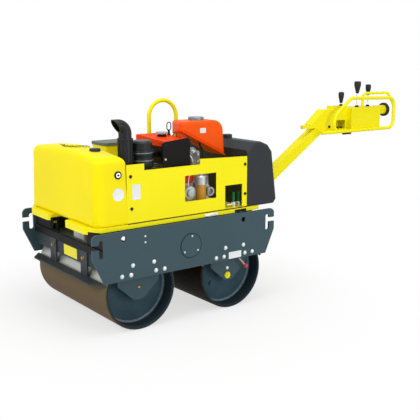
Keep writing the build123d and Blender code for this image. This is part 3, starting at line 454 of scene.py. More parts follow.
@dataclass(frozen=True)
class Drum(Finish):
    """Drum shell of rolled steel, brown, with a painted silver highlight over its top and painted shade
    towards its bottom; its ends are painted.
    """

    axle: float = 0.0
    height: float = 0.2
    # The shell's brown runs from the first colour down to the second, darker towards the bottom as painted
    # shade; the rear drum's pair is near black, painted shade all over.
    stain_and_shade: Colour = (0.1, 0.08, 0.05)
    soil_and_shade: Colour = (0.1, 0.06, 0.03)
    shell: float = 0.1952           # radius from which the surface is bare
    rim: float = 0.1850             # inner radius of the shell
    gloss: float = 0.1
    highlight_height: float = 0.254          # height over which the shell takes a painted silver highlight

    def make(self) -> bpy.types.Material:
        """Steel and paint parted by the distance from the axle."""
        shade = Shader(self.name)
        dx = shade.along("X") - self.axle
        dz = shade.along("Z") - self.height
        radius = (dx * dx + dz * dz) ** 0.5
        bare = radius.rise(self.shell, self.shell + 0.001)
        across = shade.noise(24.0, 5.0, 0.6, (3.0, 0.3, 3.0))
        blotch = shade.noise(5.0, 5.0, 0.6)
        fine = shade.noise(70.0, 5.0, 0.6)
        level = shade.along("Z") + across * 0.012 - 0.006
        # Brown by height: darker towards the bottom, painted shade.
        brown = shade.mix(self.soil_and_shade, self.stain_and_shade, level.rise(0.04, 0.27))
        brown = shade.mix(brown, rgb(54, 40, 26), blotch.rise(0.50, 0.74) * 0.5)
        brown = shade.mix(brown, rgb(118, 104, 74), across.rise(0.54, 0.78) * 0.3)
        # Silver over the shell's top: a painted reflection, which also makes it metallic and smoother there.
        bright = level.rise(self.highlight_height, self.highlight_height + 0.02)
        steel = shade.mix(brown, rgb(188, 191, 185), bright)
        paint = shade.mix(rgb(50, 71, 82), rgb(63, 87, 98), blotch.rise(0.3, 0.65))
        paint = shade.mix(paint, rgb(112, 112, 104), fine.rise(0.60, 0.8) * 0.2)
        inside = radius.rise(self.rim - 0.0125, self.rim - 0.0105)
        # Pale ring on the weld between disc and shell: painted highlight.
        weld_highlight = inside * (1.0 - radius.rise(self.rim - 0.004, self.rim - 0.002))
        paint = shade.mix(paint, rgb(138, 152, 158), weld_highlight * (0.35 + fine.rise(0.35, 0.65) * 0.35))
        # Darker on the shell's end face and inner wall: painted shade of the drum's recess.
        paint = shade.mix(paint, rgb(36, 48, 54), radius.rise(self.rim - 0.002, self.rim))
        lip = (shade.edge(0.003).rise(0.05, 0.3) * radius.rise(self.shell - 0.003, self.shell)).held()
        base = shade.mix(shade.mix(paint, steel, bare), rgb(150, 104, 66), lip * 0.6)
        shade.dress(base_color=base, specular_ior_level=self.gloss, metallic=(bare * bright * 0.75).held(),
                    roughness=(0.46 + across * 0.14 - bright * 0.08).held())
        shade.bump(across * 0.6 + fine * 0.4, 0.0005, 0.3)
        return shade.material


@dataclass(frozen=True)
class Metal(Finish):
    """Bare metal with grain and a little grime."""

    colour: Colour = (0.6, 0.6, 0.6)
    grime: Colour = (0.08, 0.07, 0.06)
    roughness: float = 0.4
    metallic: float = 1.0
    dirt: float = 0.4
    grain: float = 300.0
    depth: float = 0.0003
    gloss: float = 0.4

    def make(self) -> bpy.types.Material:
        """Metal that is darker where grime gathers."""
        shade = Shader(self.name)
        broad = shade.noise(14.0, 5.0, 0.6)
        fine = shade.noise(self.grain, 3.0)
        soil = (broad.rise(0.45, 0.72) * self.dirt).held()
        base = shade.mix(self.colour, self.grime, soil)
        shade.dress(base_color=base, specular_ior_level=self.gloss,
                    metallic=(self.metallic - soil * 0.5).held(),
                    roughness=(self.roughness + fine * 0.15 + soil * 0.25).held())
        shade.bump(fine, self.depth, 0.5)
        return shade.material


@dataclass(frozen=True)
class BallLever(Finish):
    """Red ball on a plated stem, parted by the distance from the ball's middle."""

    ball: Point = (0.0, 0.0, 0.0)
    reach: float = 0.0136

    def make(self) -> bpy.types.Material:
        """Glossy plastic near the ball's middle and steel beyond it."""
        shade = Shader(self.name)
        parts = [shade.along(axis) - middle for axis, middle in zip("XYZ", self.ball)]
        away = (parts[0] * parts[0] + parts[1] * parts[1] + parts[2] * parts[2]) ** 0.5
        stem = away.rise(self.reach, self.reach + 0.0006)
        broad = shade.noise(40.0, 4.0)
        red = shade.mix(rgb(182, 30, 44), rgb(206, 52, 60), broad.rise(0.35, 0.65))
        base = shade.mix(red, rgb(188, 180, 170), stem)
        shade.dress(base_color=base, metallic=(stem * 0.9).held(), roughness=(0.26 + broad * 0.12).held())
        shade.bump(shade.noise(500.0, 2.0), 0.0002, 0.3)
        return shade.material


@dataclass(frozen=True)
class Film(Finish):
    """Blank sticker of printed film, with a little soil at its edges."""

    colour: Colour = (0.9, 0.9, 0.9)
    soil_and_shade: Colour = (0.6, 0.58, 0.5)

    def make(self) -> bpy.types.Material:
        """Smooth film with faint soiling."""
        shade = Shader(self.name)
        fine = shade.noise(90.0, 5.0, 0.6)
        broad = shade.noise(12.0, 3.0)
        soil = (fine.rise(0.5, 0.8) * 0.25 + shade.edge(0.002).rise(0.05, 0.3) * 0.4).held()
        shade.dress(base_color=shade.mix(self.colour, self.soil_and_shade, soil),
                    roughness=(0.34 + broad * 0.14).held())
        shade.bump(fine, 0.0001, 0.3)
        return shade.material


class Palette:
    """Every finish of the roller, each made once."""

    def __init__(self) -> None:
        """Makes the materials."""
        finishes: List[Finish] = [
            Paint("yellow_paint", rgb(245, 233, 3), rgb(220, 208, 140), rgb(140, 124, 60), 0.36, 0.03, 0.12,
                  0.2, 0.03),
            Moulded("tank_yellow", rgb(246, 228, 2), rgb(250, 240, 100), 0.40, 700.0, 0.06, 0.14, 0.03),
            Paint("frame_grey", rgb(57, 79, 87), rgb(100, 108, 106), rgb(96, 96, 90), 0.46, 0.10, 0.4, 0.22),
            Paint("scraper_grey", rgb(50, 57, 62), rgb(92, 90, 84), rgb(104, 84, 62), 0.46, 0.2, 0.6, 0.25),
            # Cross plates: a darker, less blue copy of the frame grey, painted shade under the base plate.
            Paint("cross_grey", rgb(50, 59, 64), rgb(92, 94, 90), rgb(96, 90, 80), 0.5, 0.12, 0.4, 0.15),
            Drum("front_steel", SHIFT + AXLE, stain_and_shade=rgb(102, 90, 62), soil_and_shade=rgb(90, 64, 36)),
            # Rear drum: near-black shell colours, painted shade.
            Drum("rear_steel", SHIFT - AXLE, stain_and_shade=rgb(30, 21, 12), soil_and_shade=rgb(21, 13, 7), gloss=0.03),
            Metal("dark_steel", rgb(36, 38, 40), rgb(34, 28, 24), 0.5, 0.3, 0.5, gloss=0.2),
            Metal("tie_black", rgb(16, 16, 17), rgb(40, 32, 26), 0.46, 0.05, 0.3, gloss=0.12),
            Moulded("rubber", rgb(22, 22, 23), rgb(52, 52, 50), 0.75, 1400.0, 0.2, 0.2),
            Moulded("black_plastic", rgb(35, 39, 44), rgb(74, 78, 80), 0.46, 1100.0, 0.2, 0.28),
            Moulded("filter_black", rgb(22, 23, 25), rgb(64, 66, 68), 0.34, 1100.0, 0.2, 0.25),
            Moulded("black_grip", rgb(34, 36, 39), rgb(70, 70, 70), 0.5, 1600.0, 0.25, 0.25),
            Metal("black_metal", rgb(14, 12, 10), rgb(40, 28, 20), 0.42, 0.0, 0.35, gloss=0.12),
            Paint("engine_orange", rgb(250, 88, 0), rgb(230, 120, 40), rgb(110, 50, 20), 0.40, 0.04, 0.2,
                  0.15),
            Paint("cowl_red", rgb(236, 64, 4), rgb(220, 100, 50), rgb(100, 40, 24), 0.42, 0.05, 0.2, 0.08),
            Metal("engine_alloy", rgb(186, 190, 192), rgb(52, 48, 44), 0.38, 0.85, 0.8, 240.0, 0.0006),
            Metal("cap_grey", rgb(120, 132, 134), rgb(60, 62, 60), 0.34, 0.8, 0.3),
            Metal("brass", rgb(188, 152, 76), rgb(90, 70, 36), 0.34, 1.0, 0.35),
            BallLever("brake_red", spot(-377.0, 383.0, 219.0)),
            Paint("light_grey", rgb(176, 180, 178), rgb(150, 146, 136), rgb(110, 108, 100), 0.4, 0.2, 0.4),
            Moulded("amber_plastic", rgb(204, 148, 44), rgb(226, 190, 120), 0.24, 400.0, 0.2, 0.4),
            Moulded("green_plastic", rgb(16, 130, 70), rgb(92, 170, 120), 0.4, 900.0, 0.2),
            Moulded("dark_plastic", rgb(96, 106, 92), rgb(128, 134, 122), 0.46, 900.0, 0.2),
            Metal("bright_steel", rgb(224, 228, 230), rgb(130, 122, 106), 0.28, 1.0, 0.25),
            Film("white_film", rgb(228, 231, 231), rgb(178, 178, 172)),
            Film("yellow_film", rgb(244, 230, 8), rgb(190, 178, 70)),
        ]
        self.materials: Dict[str, bpy.types.Material] = {}
        for finish in finishes:
            self.materials[finish.name] = finish.make()
            log.info("finish %s", finish.name)

    def of(self, name: str) -> bpy.types.Material:
        """The material of that name."""
        return self.materials[name]


@dataclass
class Dressing:
    """Puts a finish on every CAD node by its record slot."""

    palette: Palette
    special: Dict[str, str] = field(default_factory=lambda: {
        "front_drum": "front_steel", "rear_drum": "rear_steel", "brake_lever": "brake_red",
        "engine_cowl": "cowl_red", "air_filter": "filter_black", "intake_snorkel": "filter_black",
        "front_scraper": "scraper_grey", "rear_scraper": "scraper_grey", "fuel_cap": "cap_grey",
        "front_cross_plate": "cross_grey", "rear_cross_plate": "cross_grey",
        "front_tie_bar": "tie_black", "rear_tie_bar": "tie_black"})

    def apply(self, frame: Dict) -> None:
        """Assigns the materials.
        """
        slots = {row["node"]: row["material_slot"] for row in frame["record"]["subparts"]}
        for name, node in frame["nodes"].items():
            material = self.palette.of(self.special.get(name, slots[name]))
            node.data.materials.clear()
            node.data.materials.append(material)
            log.info("dressed %s", name)


class Pick(Enum):
    """Which elements of a mesh are picked."""

    FACE = "FACE"
    EDGE = "EDGE"


class Head(Enum):
    """Form of a bolt's head."""

    ROUND = "round"
    HEX = "hex"
    SOCKET = "socket"


@dataclass(frozen=True)
class Bolt:
    """A bolt head on its washer, in millimetres."""

    head: float                         # radius of the head
    height: float                       # of the head over the washer
    washer: float                       # radius of the washer
    form: Head = Head.HEX
    thick: float = 0.14                 # the washer's thickness as a share of its radius
    bevelled: float = 0.4               # share of that thickness
    chamfer: float = 0.14               # of a hexagon, as a share of its radius and height
    crown: float = 0.6                  # of a round head, as a share of its lesser size
    wall: float = 0.45                  # of a socket, as a share of the head's radius
    depth: float = 0.6                  # of a socket, as a share of the head's height
    sides: int = 24


class Bench:
    """Workbench: starts, shapes, copies and finishes meshes with Blender's own tools, in millimetres."""

    film: float = 0.8                   # thickness of a label
    film_rim: Pair = (1.2, -0.3)        # width of its rim, and how far the middle stands over it
    smooth: float = 35.0                # greatest angle in degrees that is shaded smooth

    def __init__(self, palette: Palette) -> None:
        """Keeps the finishes at hand."""
        self.palette = palette

    @staticmethod
    def clear() -> None:
        """Goes to object mode and leaves nothing selected."""
        if bpy.context.mode != "OBJECT":
            bpy.ops.object.mode_set(mode="OBJECT")
        bpy.ops.object.select_all(action="DESELECT")

    @staticmethod
    def settle() -> bpy.types.Object:
        """Puts the active object's place into its mesh and returns it."""
        bpy.ops.object.transform_apply(location=True, rotation=True, scale=True)
        return bpy.context.object

    def bar(self, radius: float, length: float, sides: int, middle: Point) -> bpy.types.Object:
        """Starts an upright round bar.

        Args:
            radius: its radius.
            length: its height.
            sides: sides of the bar.
            middle: its middle in the row frame.

        Returns:
            The bar.
        """
        self.clear()
        bpy.ops.mesh.primitive_cylinder_add(
            vertices=sides, radius=radius * MM, depth=length * MM, location=middle)
        return self.settle()

    def disc(self, radius: float, thick: float, sides: int) -> bpy.types.Object:
        """Starts a disc that stands on the origin.

        Args:
            radius: its radius.
            thick: its thickness.
            sides: sides of the disc.

        Returns:
            The disc.
        """
        return self.bar(radius, thick, sides, (0.0, 0.0, thick / 2 * MM))

    def block(self, low: Point, high: Point) -> bpy.types.Object:
        """Starts a block between two corners.

        Args:
            low: lowest corner in the row frame.
            high: highest corner in the row frame.

        Returns:
            The block.
        """
        self.clear()
        middle = (Vector(low) + Vector(high)) / 2
        bpy.ops.mesh.primitive_cube_add(size=1.0, location=middle)
        bpy.context.object.scale = Vector(high) - Vector(low)
        return self.settle()

    def ring(self, major: float, minor: float, around: int, section: int) -> bpy.types.Object:
        """Starts a flat ring about the upright axis.

        Args:
            major: radius of its centre line.
            minor: radius of its section.
            around: segments round the ring.
            section: segments of the section.

        Returns:
            The ring.
        """
        self.clear()
        bpy.ops.mesh.primitive_torus_add(
            major_radius=major * MM, minor_radius=minor * MM, major_segments=around, minor_segments=section)
        return self.settle()

    def pipe(self, points: Points, radius: float) -> bpy.types.Object:
        """Bends a rigid pipe through some points.

        Args:
            points: bends and ends, in machine millimetres.
            radius: its radius.

        Returns:
            The pipe as a mesh.
        """
        self.clear()
        bpy.ops.curve.primitive_nurbs_path_add()
        curve = bpy.context.object
        curve.data.splines.clear()
        spline = curve.data.splines.new("NURBS")
        spline.points.add(len(points) - 1)
        for point, place in zip(spline.points, points):
            point.co = (*spot(*place), 1.0)
        spline.order_u = 3
        spline.use_endpoint_u = True
        spline.resolution_u = 8
        curve.location = (0.0, 0.0, 0.0)
        curve.data.bevel_depth = radius * MM
        curve.data.bevel_resolution = 2
        curve.data.use_fill_caps = True
        bpy.ops.object.convert(target="MESH")
        return self.settle()

    @staticmethod
    def pick(piece: bpy.types.Object, kind: Pick, test: Test) -> None:
        """Selects faces or edges of a piece in edit mode.

        Args:
            piece: the piece.
            kind: faces or edges.
            test: takes the middle and the normal of a face, or the middle and direction of an edge.
        """
        bpy.context.view_layer.objects.active = piece
        bpy.ops.object.mode_set(mode="EDIT")
        bpy.ops.mesh.select_mode(type=kind.value)
        bpy.ops.mesh.select_all(action="DESELECT")
        mesh = bmesh.from_edit_mesh(piece.data)
        if kind is Pick.FACE:
            for face in mesh.faces:
                face.select_set(test(face.calc_center_median(), face.normal))
        else:
            for edge in mesh.edges:
                start, end = (corner.co for corner in edge.verts)
                edge.select_set(test((start + end) / 2, (end - start).normalized()))
        mesh.select_flush_mode()
        bmesh.update_edit_mesh(piece.data)

    @staticmethod
    def push(x: float, y: float, z: float) -> None:
        """Extrudes the picked faces along a way."""
        bpy.ops.mesh.extrude_region_move(TRANSFORM_OT_translate={"value": (x * MM, y * MM, z * MM)})

    @staticmethod
    def shift(x: float, y: float, z: float) -> None:
        """Moves what is picked."""
        bpy.ops.transform.translate(value=(x * MM, y * MM, z * MM))

    @staticmethod
    def inset(width: float, depth: float = 0.0) -> None:
        """Insets the picked faces by a width, and raises them by a depth."""
        bpy.ops.mesh.inset(thickness=width * MM, depth=depth * MM)

    @staticmethod
    def bevel(edge: float, segments: int) -> None:
        """Rounds the picked edges, or those of the picked faces."""
        bpy.ops.mesh.bevel(offset=edge * MM, segments=segments, affect="EDGES")

    def soften(self, piece: bpy.types.Object, kind: Pick, test: Test, edge: float, segments: int) -> None:
        """Picks and rounds edges.

        Args:
            piece: the piece.
            kind: faces or edges.
            test: as in pick.
            edge: size of the rounding.
            segments: steps of the rounding.
        """
        self.pick(piece, kind, test)
        self.bevel(edge, segments)

    def join(self, pieces: Sequence[bpy.types.Object]) -> bpy.types.Object:
        """Joins pieces into the first of them.

        Args:
            pieces: the pieces.

        Returns:
            The joined piece.
        """
        self.clear()
        for piece in pieces:
            piece.select_set(True)
        bpy.context.view_layer.objects.active = pieces[0]
        if len(pieces) > 1:
            bpy.ops.object.join()
        return pieces[0]

    def moved(self, pattern: bpy.types.Object, moves: Sequence[Matrix]) -> bpy.types.Object:
        """Copies a pattern by each move and joins the copies.

        Args:
            pattern: piece modelled at the origin, which is used up.
            moves: where each copy goes.

        Returns:
            The copies as one piece.
        """
        self.clear()
        made = []
        for move in moves:
            twin = bpy.data.objects.new("copy", pattern.data.copy())
            bpy.context.collection.objects.link(twin)
            twin.data.transform(move)
            made.append(twin)
        bpy.data.objects.remove(pattern)
        return self.join(made)

    def copies(self, pattern: bpy.types.Object, seats: Sequence[Seat]) -> bpy.types.Object:
        """Copies an upright pattern to each seat and joins the copies.

        Args:
            pattern: piece modelled at the origin, pointing up.
            seats: places and ways out.

        Returns:
            The copies as one piece.
        """
        return self.moved(pattern, [
            Matrix.Translation(place) @ Vector(out).to_track_quat("Z", "Y").to_matrix().to_4x4()
            for place, out in seats])

    def bolt(self, kind: Bolt) -> bpy.types.Object:
        """Models a bolt head on its washer, upright at the origin.

        Args:
            kind: sizes and form.

        Returns:
            The bolt.
        """
        thick = kind.washer * kind.thick
        disc = self.disc(kind.washer, thick, kind.sides)
        self.pick(disc, Pick.FACE, faces(UP))
        if kind.form is Head.HEX:
            self.bevel(thick * kind.bevelled, 1)
            nut = self.bar(kind.head, kind.height, 6, (0.0, 0.0, (thick + kind.height / 2) * MM))
            self.pick(nut, Pick.FACE, faces(UP))
            self.inset(kind.head * kind.chamfer, kind.height * kind.chamfer)
            return self.join([disc, nut])
        self.inset(kind.washer - kind.head)
        self.push(0.0, 0.0, kind.height)
        if kind.form is Head.ROUND:
            self.bevel(min(kind.height, kind.head) * kind.crown, 3)
        else:
            self.inset(kind.head * kind.wall)
            self.push(0.0, 0.0, -kind.height * kind.depth)
        return disc

    def label(self, width: float, height: float, corner: float) -> bpy.types.Object:
        """Models a blank label with round corners, lying flat at the origin.

        Args:
            width: along x.
            height: along y.
            corner: corner radius.

        Returns:
            The label.
        """
        x, y = width / 2 * MM, height / 2 * MM
        film = self.block((-x, -y, 0.0), (x, y, self.film * MM))
        self.soften(film, Pick.EDGE, runs(UP), corner, 5)
        self.pick(film, Pick.FACE, faces(UP))
        self.inset(*self.film_rim)
        self.clear()
        return film

    def finish(self, piece: bpy.types.Object, name: str, finish: str, slot: str = "",
               body: str = "chassis") -> None:
        """Names, smooths, paints and hangs a piece.

        Args:
            piece: the piece.
            name: its name.
            finish: name of its finish.
            slot: the record's slot, if it has another name than the finish; not used.
            body: the body that it moves with.
        """
        self.clear()
        piece.name = name
        piece.select_set(True)
        bpy.context.view_layer.objects.active = piece
        bpy.ops.object.shade_smooth_by_angle(angle=math.radians(self.smooth))
        piece.data.materials.clear()
        piece.data.materials.append(self.palette.of(finish))
        slot = slot or finish
        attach(piece, body)
        log.info("piece %s on %s", piece.name, body)

    def place(self, pattern: Union[Bolt, bpy.types.Object], seats: Sequence[Seat], name: str, finish: str,
              slot: str = "", body: str = "chassis") -> None:
        """Copies a pattern to its seats and finishes the copies as one piece.

        Args:
            pattern: a bolt's sizes, or a piece modelled at the origin, pointing up.
            seats: places and ways out.
            name: name of the piece.
            finish: as in finish.
            slot: as in finish.
            body: as in finish.
        """
        model = self.bolt(pattern) if isinstance(pattern, Bolt) else pattern
        self.finish(self.copies(model, seats), name, finish, slot, body)


@dataclass
class SidePlateFittings:
    """Bolts, cover screws, dark rings of painted shade round the covers, and the blank plate on the two side
    plates.
    """

    bench: Bench
    plate_out: float = 403.0
    cover_out: float = 406.0
    cover_z: float = 392.0
    cover_screw_radius: float = 50.0
    cover_angles: Tuple[float, ...] = (97.0, 215.0, 325.0)
    cover_screw: Bolt = Bolt(3.6, 3.0, 5.0, Head.SOCKET)
    small_bolts: Pairs = ((271.0, 480.0), (271.0, 450.0))
    # Dark ring of painted shade round each cover:
    shade_line: Pair = (63.2, 1.8)                # radius and thickness
    shade_line_edge: float = 0.5
    shade_line_rim: Pair = (2.0, -1.2)            # width, and height of the middle over it
    axles: Tuple[float, ...] = (283.5, -283.5)
    buffer_bolts: Pairs = (
        (60.5, 345.0), (-60.5, 345.0), (71.0, 299.0), (-71.0, 299.0), (122.0, 299.0), (-122.0, 299.0))
    buffer_bolt: Bolt = Bolt(8.5, 5.5, 11.0, Head.ROUND)
    arm_nut_at: Point = (-274.6, 352.0, 216.0)
    arm_nut: Bolt = Bolt(6.5, 3.9, 9.1)
    cap_bolt_at: Point = (-273.5, 360.0, 177.0)
    cap_bolt: Bolt = Bolt(8.0, 4.8, 11.2)
    plate_at: Pair = (-287.0, 299.0)
    plate_size: Point = (84.0, 36.0, 2.0)   # width, height and corner

    def hubs(self) -> None:
        """Hexagons on the rear hub caps and a plated nut on each rear arm."""
        self.bench.place(self.cap_bolt, both(*self.cap_bolt_at), "cap_bolts", "yellow_paint")
        self.bench.place(self.arm_nut, both(*self.arm_nut_at), "arm_nuts", "bright_steel")

    def bolts(self) -> None:
        """Plated bolts of the rubber buffers, on both sides."""
        stations = [(axle + dx, z) for axle in self.axles for dx, z in self.buffer_bolts]
        for side, out in SIDES:
            seats = seats_on(out, self.plate_out, stations)
            self.bench.place(self.buffer_bolt, seats, f"buffer_bolts_{side}", "bright_steel")

    def screws(self) -> None:
        """Small screws of the round covers and of the plates."""
        reach = self.cover_screw_radius
        turns = [math.radians(angle) for angle in self.cover_angles]
        circle = [(reach * math.cos(turn), self.cover_z + reach * math.sin(turn)) for turn in turns]
        for side, out in SIDES:
            seats = seats_on(out, self.plate_out, self.small_bolts) + seats_on(out, self.cover_out, circle)
            self.bench.place(self.cover_screw, seats, f"cover_screws_{side}", "bright_steel")

    def shade_lines(self) -> None:
        """Dark rubber rings that draw a thin line of painted shade round the side covers."""
        width, rise = self.shade_line_rim
        for side, out in SIDES:
            shade_line = self.bench.disc(*self.shade_line, 72)
            self.bench.soften(shade_line, Pick.FACE, faces(UP), self.shade_line_edge, 2)
            self.bench.inset(width)
            self.bench.push(0.0, 0.0, rise)
            seats = seats_on(out, self.plate_out, [(0.0, self.cover_z)])
            self.bench.place(shade_line, seats, f"cover_shade_ring_{side}", "rubber")

    def plate(self) -> None:
        """Blank pale plate above the brake lever."""
        film = self.bench.label(*self.plate_size)
        seats = seats_on(LEFT, self.plate_out, [self.plate_at])
        self.bench.place(film, seats, "blank_plate", "white_film", "light_grey")

    def build(self) -> None:
        """Makes all the fittings of the side plates."""
        self.hubs()
        self.bolts()
        self.screws()
        self.shade_lines()
        self.plate()


@dataclass
class TankFittings:
    """Plug, blank sticker and filler chain of the water tank."""

    bench: Bench
    half: float = 373.0
    foot: float = 541.0
    draft: float = 2.0
    crown: float = 892.0
    crown_drop: float = 26.0                # fall of the crown at the tank's sides
    plug_at: Pair = (393.0, 785.0)
    plug: Bolt = Bolt(11.5, 3.5, 14.5, Head.SOCKET)
    grommet: Pair = (18.0, 4.0)             # radius and thickness
    grommet_edge: float = 1.5
    grommet_rim: Pair = (3.0, -1.5)         # width, and height of the middle over it
    sticker_at: Pair = (394.0, 692.0)
    sticker: Pair = (31.0, 0.8)             # radius and thickness
    sticker_rim: Pair = (1.5, -0.3)
    link: Pair = (5.5, 1.1)                 # radii of a link's bend and of its wire
    link_stretch: float = 6.0
    link_turn: float = 40.0                 # to one side and the other, in degrees
    link_lift: float = 4.5                  # its middle over the tank's top
    chain: Pairs = (
        (476.0, -62.0), (470.0, -44.0), (474.0, -26.0), (480.0, -8.0), (478.0, 10.0), (470.0, 26.0),
        (458.0, 40.0), (444.0, 50.0), (428.0, 54.0), (412.0, 60.0), (400.0, 72.0), (392.0, 88.0))

    def wall(self, x: float, z: float) -> Seat:
        """Place and way out on the tank's left wall.

        Args:
            x: station in millimetres.
            z: height in millimetres.

        Returns:
            The seat.
        """
        lean = math.radians(self.draft)
        y = self.half - (z - self.foot) * math.tan(lean)
        return spot(x, y, z), (0.0, math.cos(lean), math.sin(lean))

    def side(self) -> None:
        """Rubber grommet with a plated plug, and the round blank sticker."""
        ring = self.bench.disc(*self.grommet, 40)
        self.bench.soften(ring, Pick.FACE, faces(UP), self.grommet_edge, 2)
        width, rise = self.grommet_rim
        self.bench.inset(width)
        self.bench.push(0.0, 0.0, rise)
        self.bench.place(ring, [self.wall(*self.plug_at)], "tank_grommet", "rubber")
        self.bench.place(self.plug, [self.wall(*self.plug_at)], "tank_plug", "bright_steel")
        film = self.bench.disc(*self.sticker, 56)
        self.bench.pick(film, Pick.FACE, faces(UP))
        self.bench.inset(*self.sticker_rim)
        self.bench.place(film, [self.wall(*self.sticker_at)], "round_sticker", "white_film", "light_grey")

    def links(self) -> None:
        """Filler chain of stretched links, turned to one side and the other by turns."""
        link = self.bench.ring(*self.link, 16, 8)
        self.bench.pick(link, Pick.FACE, lambda middle, normal: middle.x > 0.0)
        self.bench.shift(self.link_stretch, 0.0, 0.0)
        centre = Matrix.Translation((-self.link_stretch / 2 * MM, 0.0, 0.0))
        moves = []
        for index, (start, end) in enumerate(zip(self.chain, self.chain[1:])):
            y = (start[1] + end[1]) / 2
            z = self.crown - self.crown_drop * (y / self.half) ** 2 + self.link_lift
            heading = math.atan2(end[1] - start[1], end[0] - start[0])
            tilt = math.radians(self.link_turn if index % 2 else -self.link_turn)
            turn = Matrix.Rotation(heading, 4, "Z") @ Matrix.Rotation(tilt, 4, "X")
            moves.append(Matrix.Translation(spot((start[0] + end[0]) / 2, y, z)) @ turn @ centre)
        self.bench.finish(self.bench.moved(link, moves), "filler_chain", "dark_steel")

    def build(self) -> None:
        """Makes all the fittings of the tank."""
        self.side()
        self.links()


@dataclass
class PanelFittings:
    """Screws, dark strips of painted shade, blank sticker and latch of the side panels and the base plate."""

    bench: Bench
    panel_out: float = 372.0
    base_top: float = 541.0
    base_half: float = 382.0
    front: float = 349.0
    rear: float = -390.0
    screws_at: Pairs = ((328.0, 773.0), (325.0, 616.0), (-376.0, 774.0), (-378.0, 615.0))
    screw: Bolt = Bolt(6.0, 4.0, 8.5, Head.SOCKET)
    # Dark strip of painted shade under each panel:
    shade_line: Pair = (3.0, 5.0)                 # thickness and height
    shade_line_edge: float = 1.2
    pad_x: Pair = (-378.0, -300.0)
    pad_z: Pair = (523.0, 537.0)
    pad_y: Pair = (-1.0, 1.5)               # its back and face from the base plate's edge
    pad_corner: float = 3.0
    sticker_at: Pair = (298.0, 696.0)
    sticker_size: Point = (46.0, 74.0, 4.0)     # width, height and corner
    latch_x: Pair = (-186.0, -100.0)
    latch_z: Pair = (524.0, 538.0)
    latch_thick: float = 3.0
    latch_rim: Pair = (3.0, 4.0)            # width, and height of the middle over it
    latch_edge: float = 1.5
    latch_eye: Bolt = Bolt(4.0, 4.0, 6.0, Head.ROUND)
    latch_eyes: Pairs = ((-176.0, 531.0), (-110.0, 531.0))
    latch_out: float = 6.5                  # foot of the eyes from the base plate's edge

    def screws(self) -> None:
        """Dark socket screws at the panels' corners."""
        for side, out in SIDES:
            seats = seats_on(out, self.panel_out, self.screws_at)
            self.bench.place(self.screw, seats, f"panel_screws_{side}", "dark_steel")

    def shade_lines(self) -> None:
        """Dark rubber strips along the panels' lower edges: painted shade of the gap over the base plate."""
        thick, height = self.shade_line
        for side, (_, way, _) in SIDES:
            near, far = sorted((way * self.panel_out, way * (self.panel_out + thick)))
            high = spot(self.front, far, self.base_top + height)
            strip = self.bench.block(spot(self.rear, near, self.base_top), high)
            along = runs(FRONT)
            self.bench.soften(strip, Pick.EDGE, lambda middle, run: along(middle, run)
                              and middle.z > high[2] - MM, self.shade_line_edge, 2)
            self.bench.finish(strip, f"panel_shade_strip_{side}", "rubber")

    def pad(self) -> None:
        """Dark pad let into the base plate's left edge, under the rear window."""
        low, high = (spot(x, self.base_half + y, z) for x, y, z in zip(self.pad_x, self.pad_y, self.pad_z))
        pad = self.bench.block(low, high)
        self.bench.soften(pad, Pick.EDGE, runs(LEFT), self.pad_corner, 3)
        self.bench.finish(pad, "base_pad", "rubber")

    def sticker(self) -> None:
        """Blank pale sticker near the left panel's front edge."""
        film = self.bench.label(*self.sticker_size)
        seats = seats_on(LEFT, self.panel_out, [self.sticker_at])
        self.bench.place(film, seats, "blank_sticker", "white_film", "light_grey")

    def latch(self) -> None:
        """Plated draw latch on the base plate's left edge."""
        rear, front = self.latch_x
        low, high = self.latch_z
        strap = self.bench.block(spot(rear, self.base_half, low),
                                 spot(front, self.base_half + self.latch_thick, high))
        self.bench.pick(strap, Pick.FACE, faces(LEFT))
        width, rise = self.latch_rim
        self.bench.inset(width)
        self.bench.push(0.0, rise, 0.0)
        self.bench.bevel(self.latch_edge, 2)
        eyes = self.bench.copies(self.bench.bolt(self.latch_eye),
                                 seats_on(LEFT, self.base_half + self.latch_out, self.latch_eyes))
        self.bench.finish(self.bench.join([strap, eyes]), "draw_latch", "bright_steel")

    def build(self) -> None:
        """Makes all the fittings of the panels."""
        self.screws()
        self.shade_lines()
        self.pad()
        self.sticker()
        self.latch()


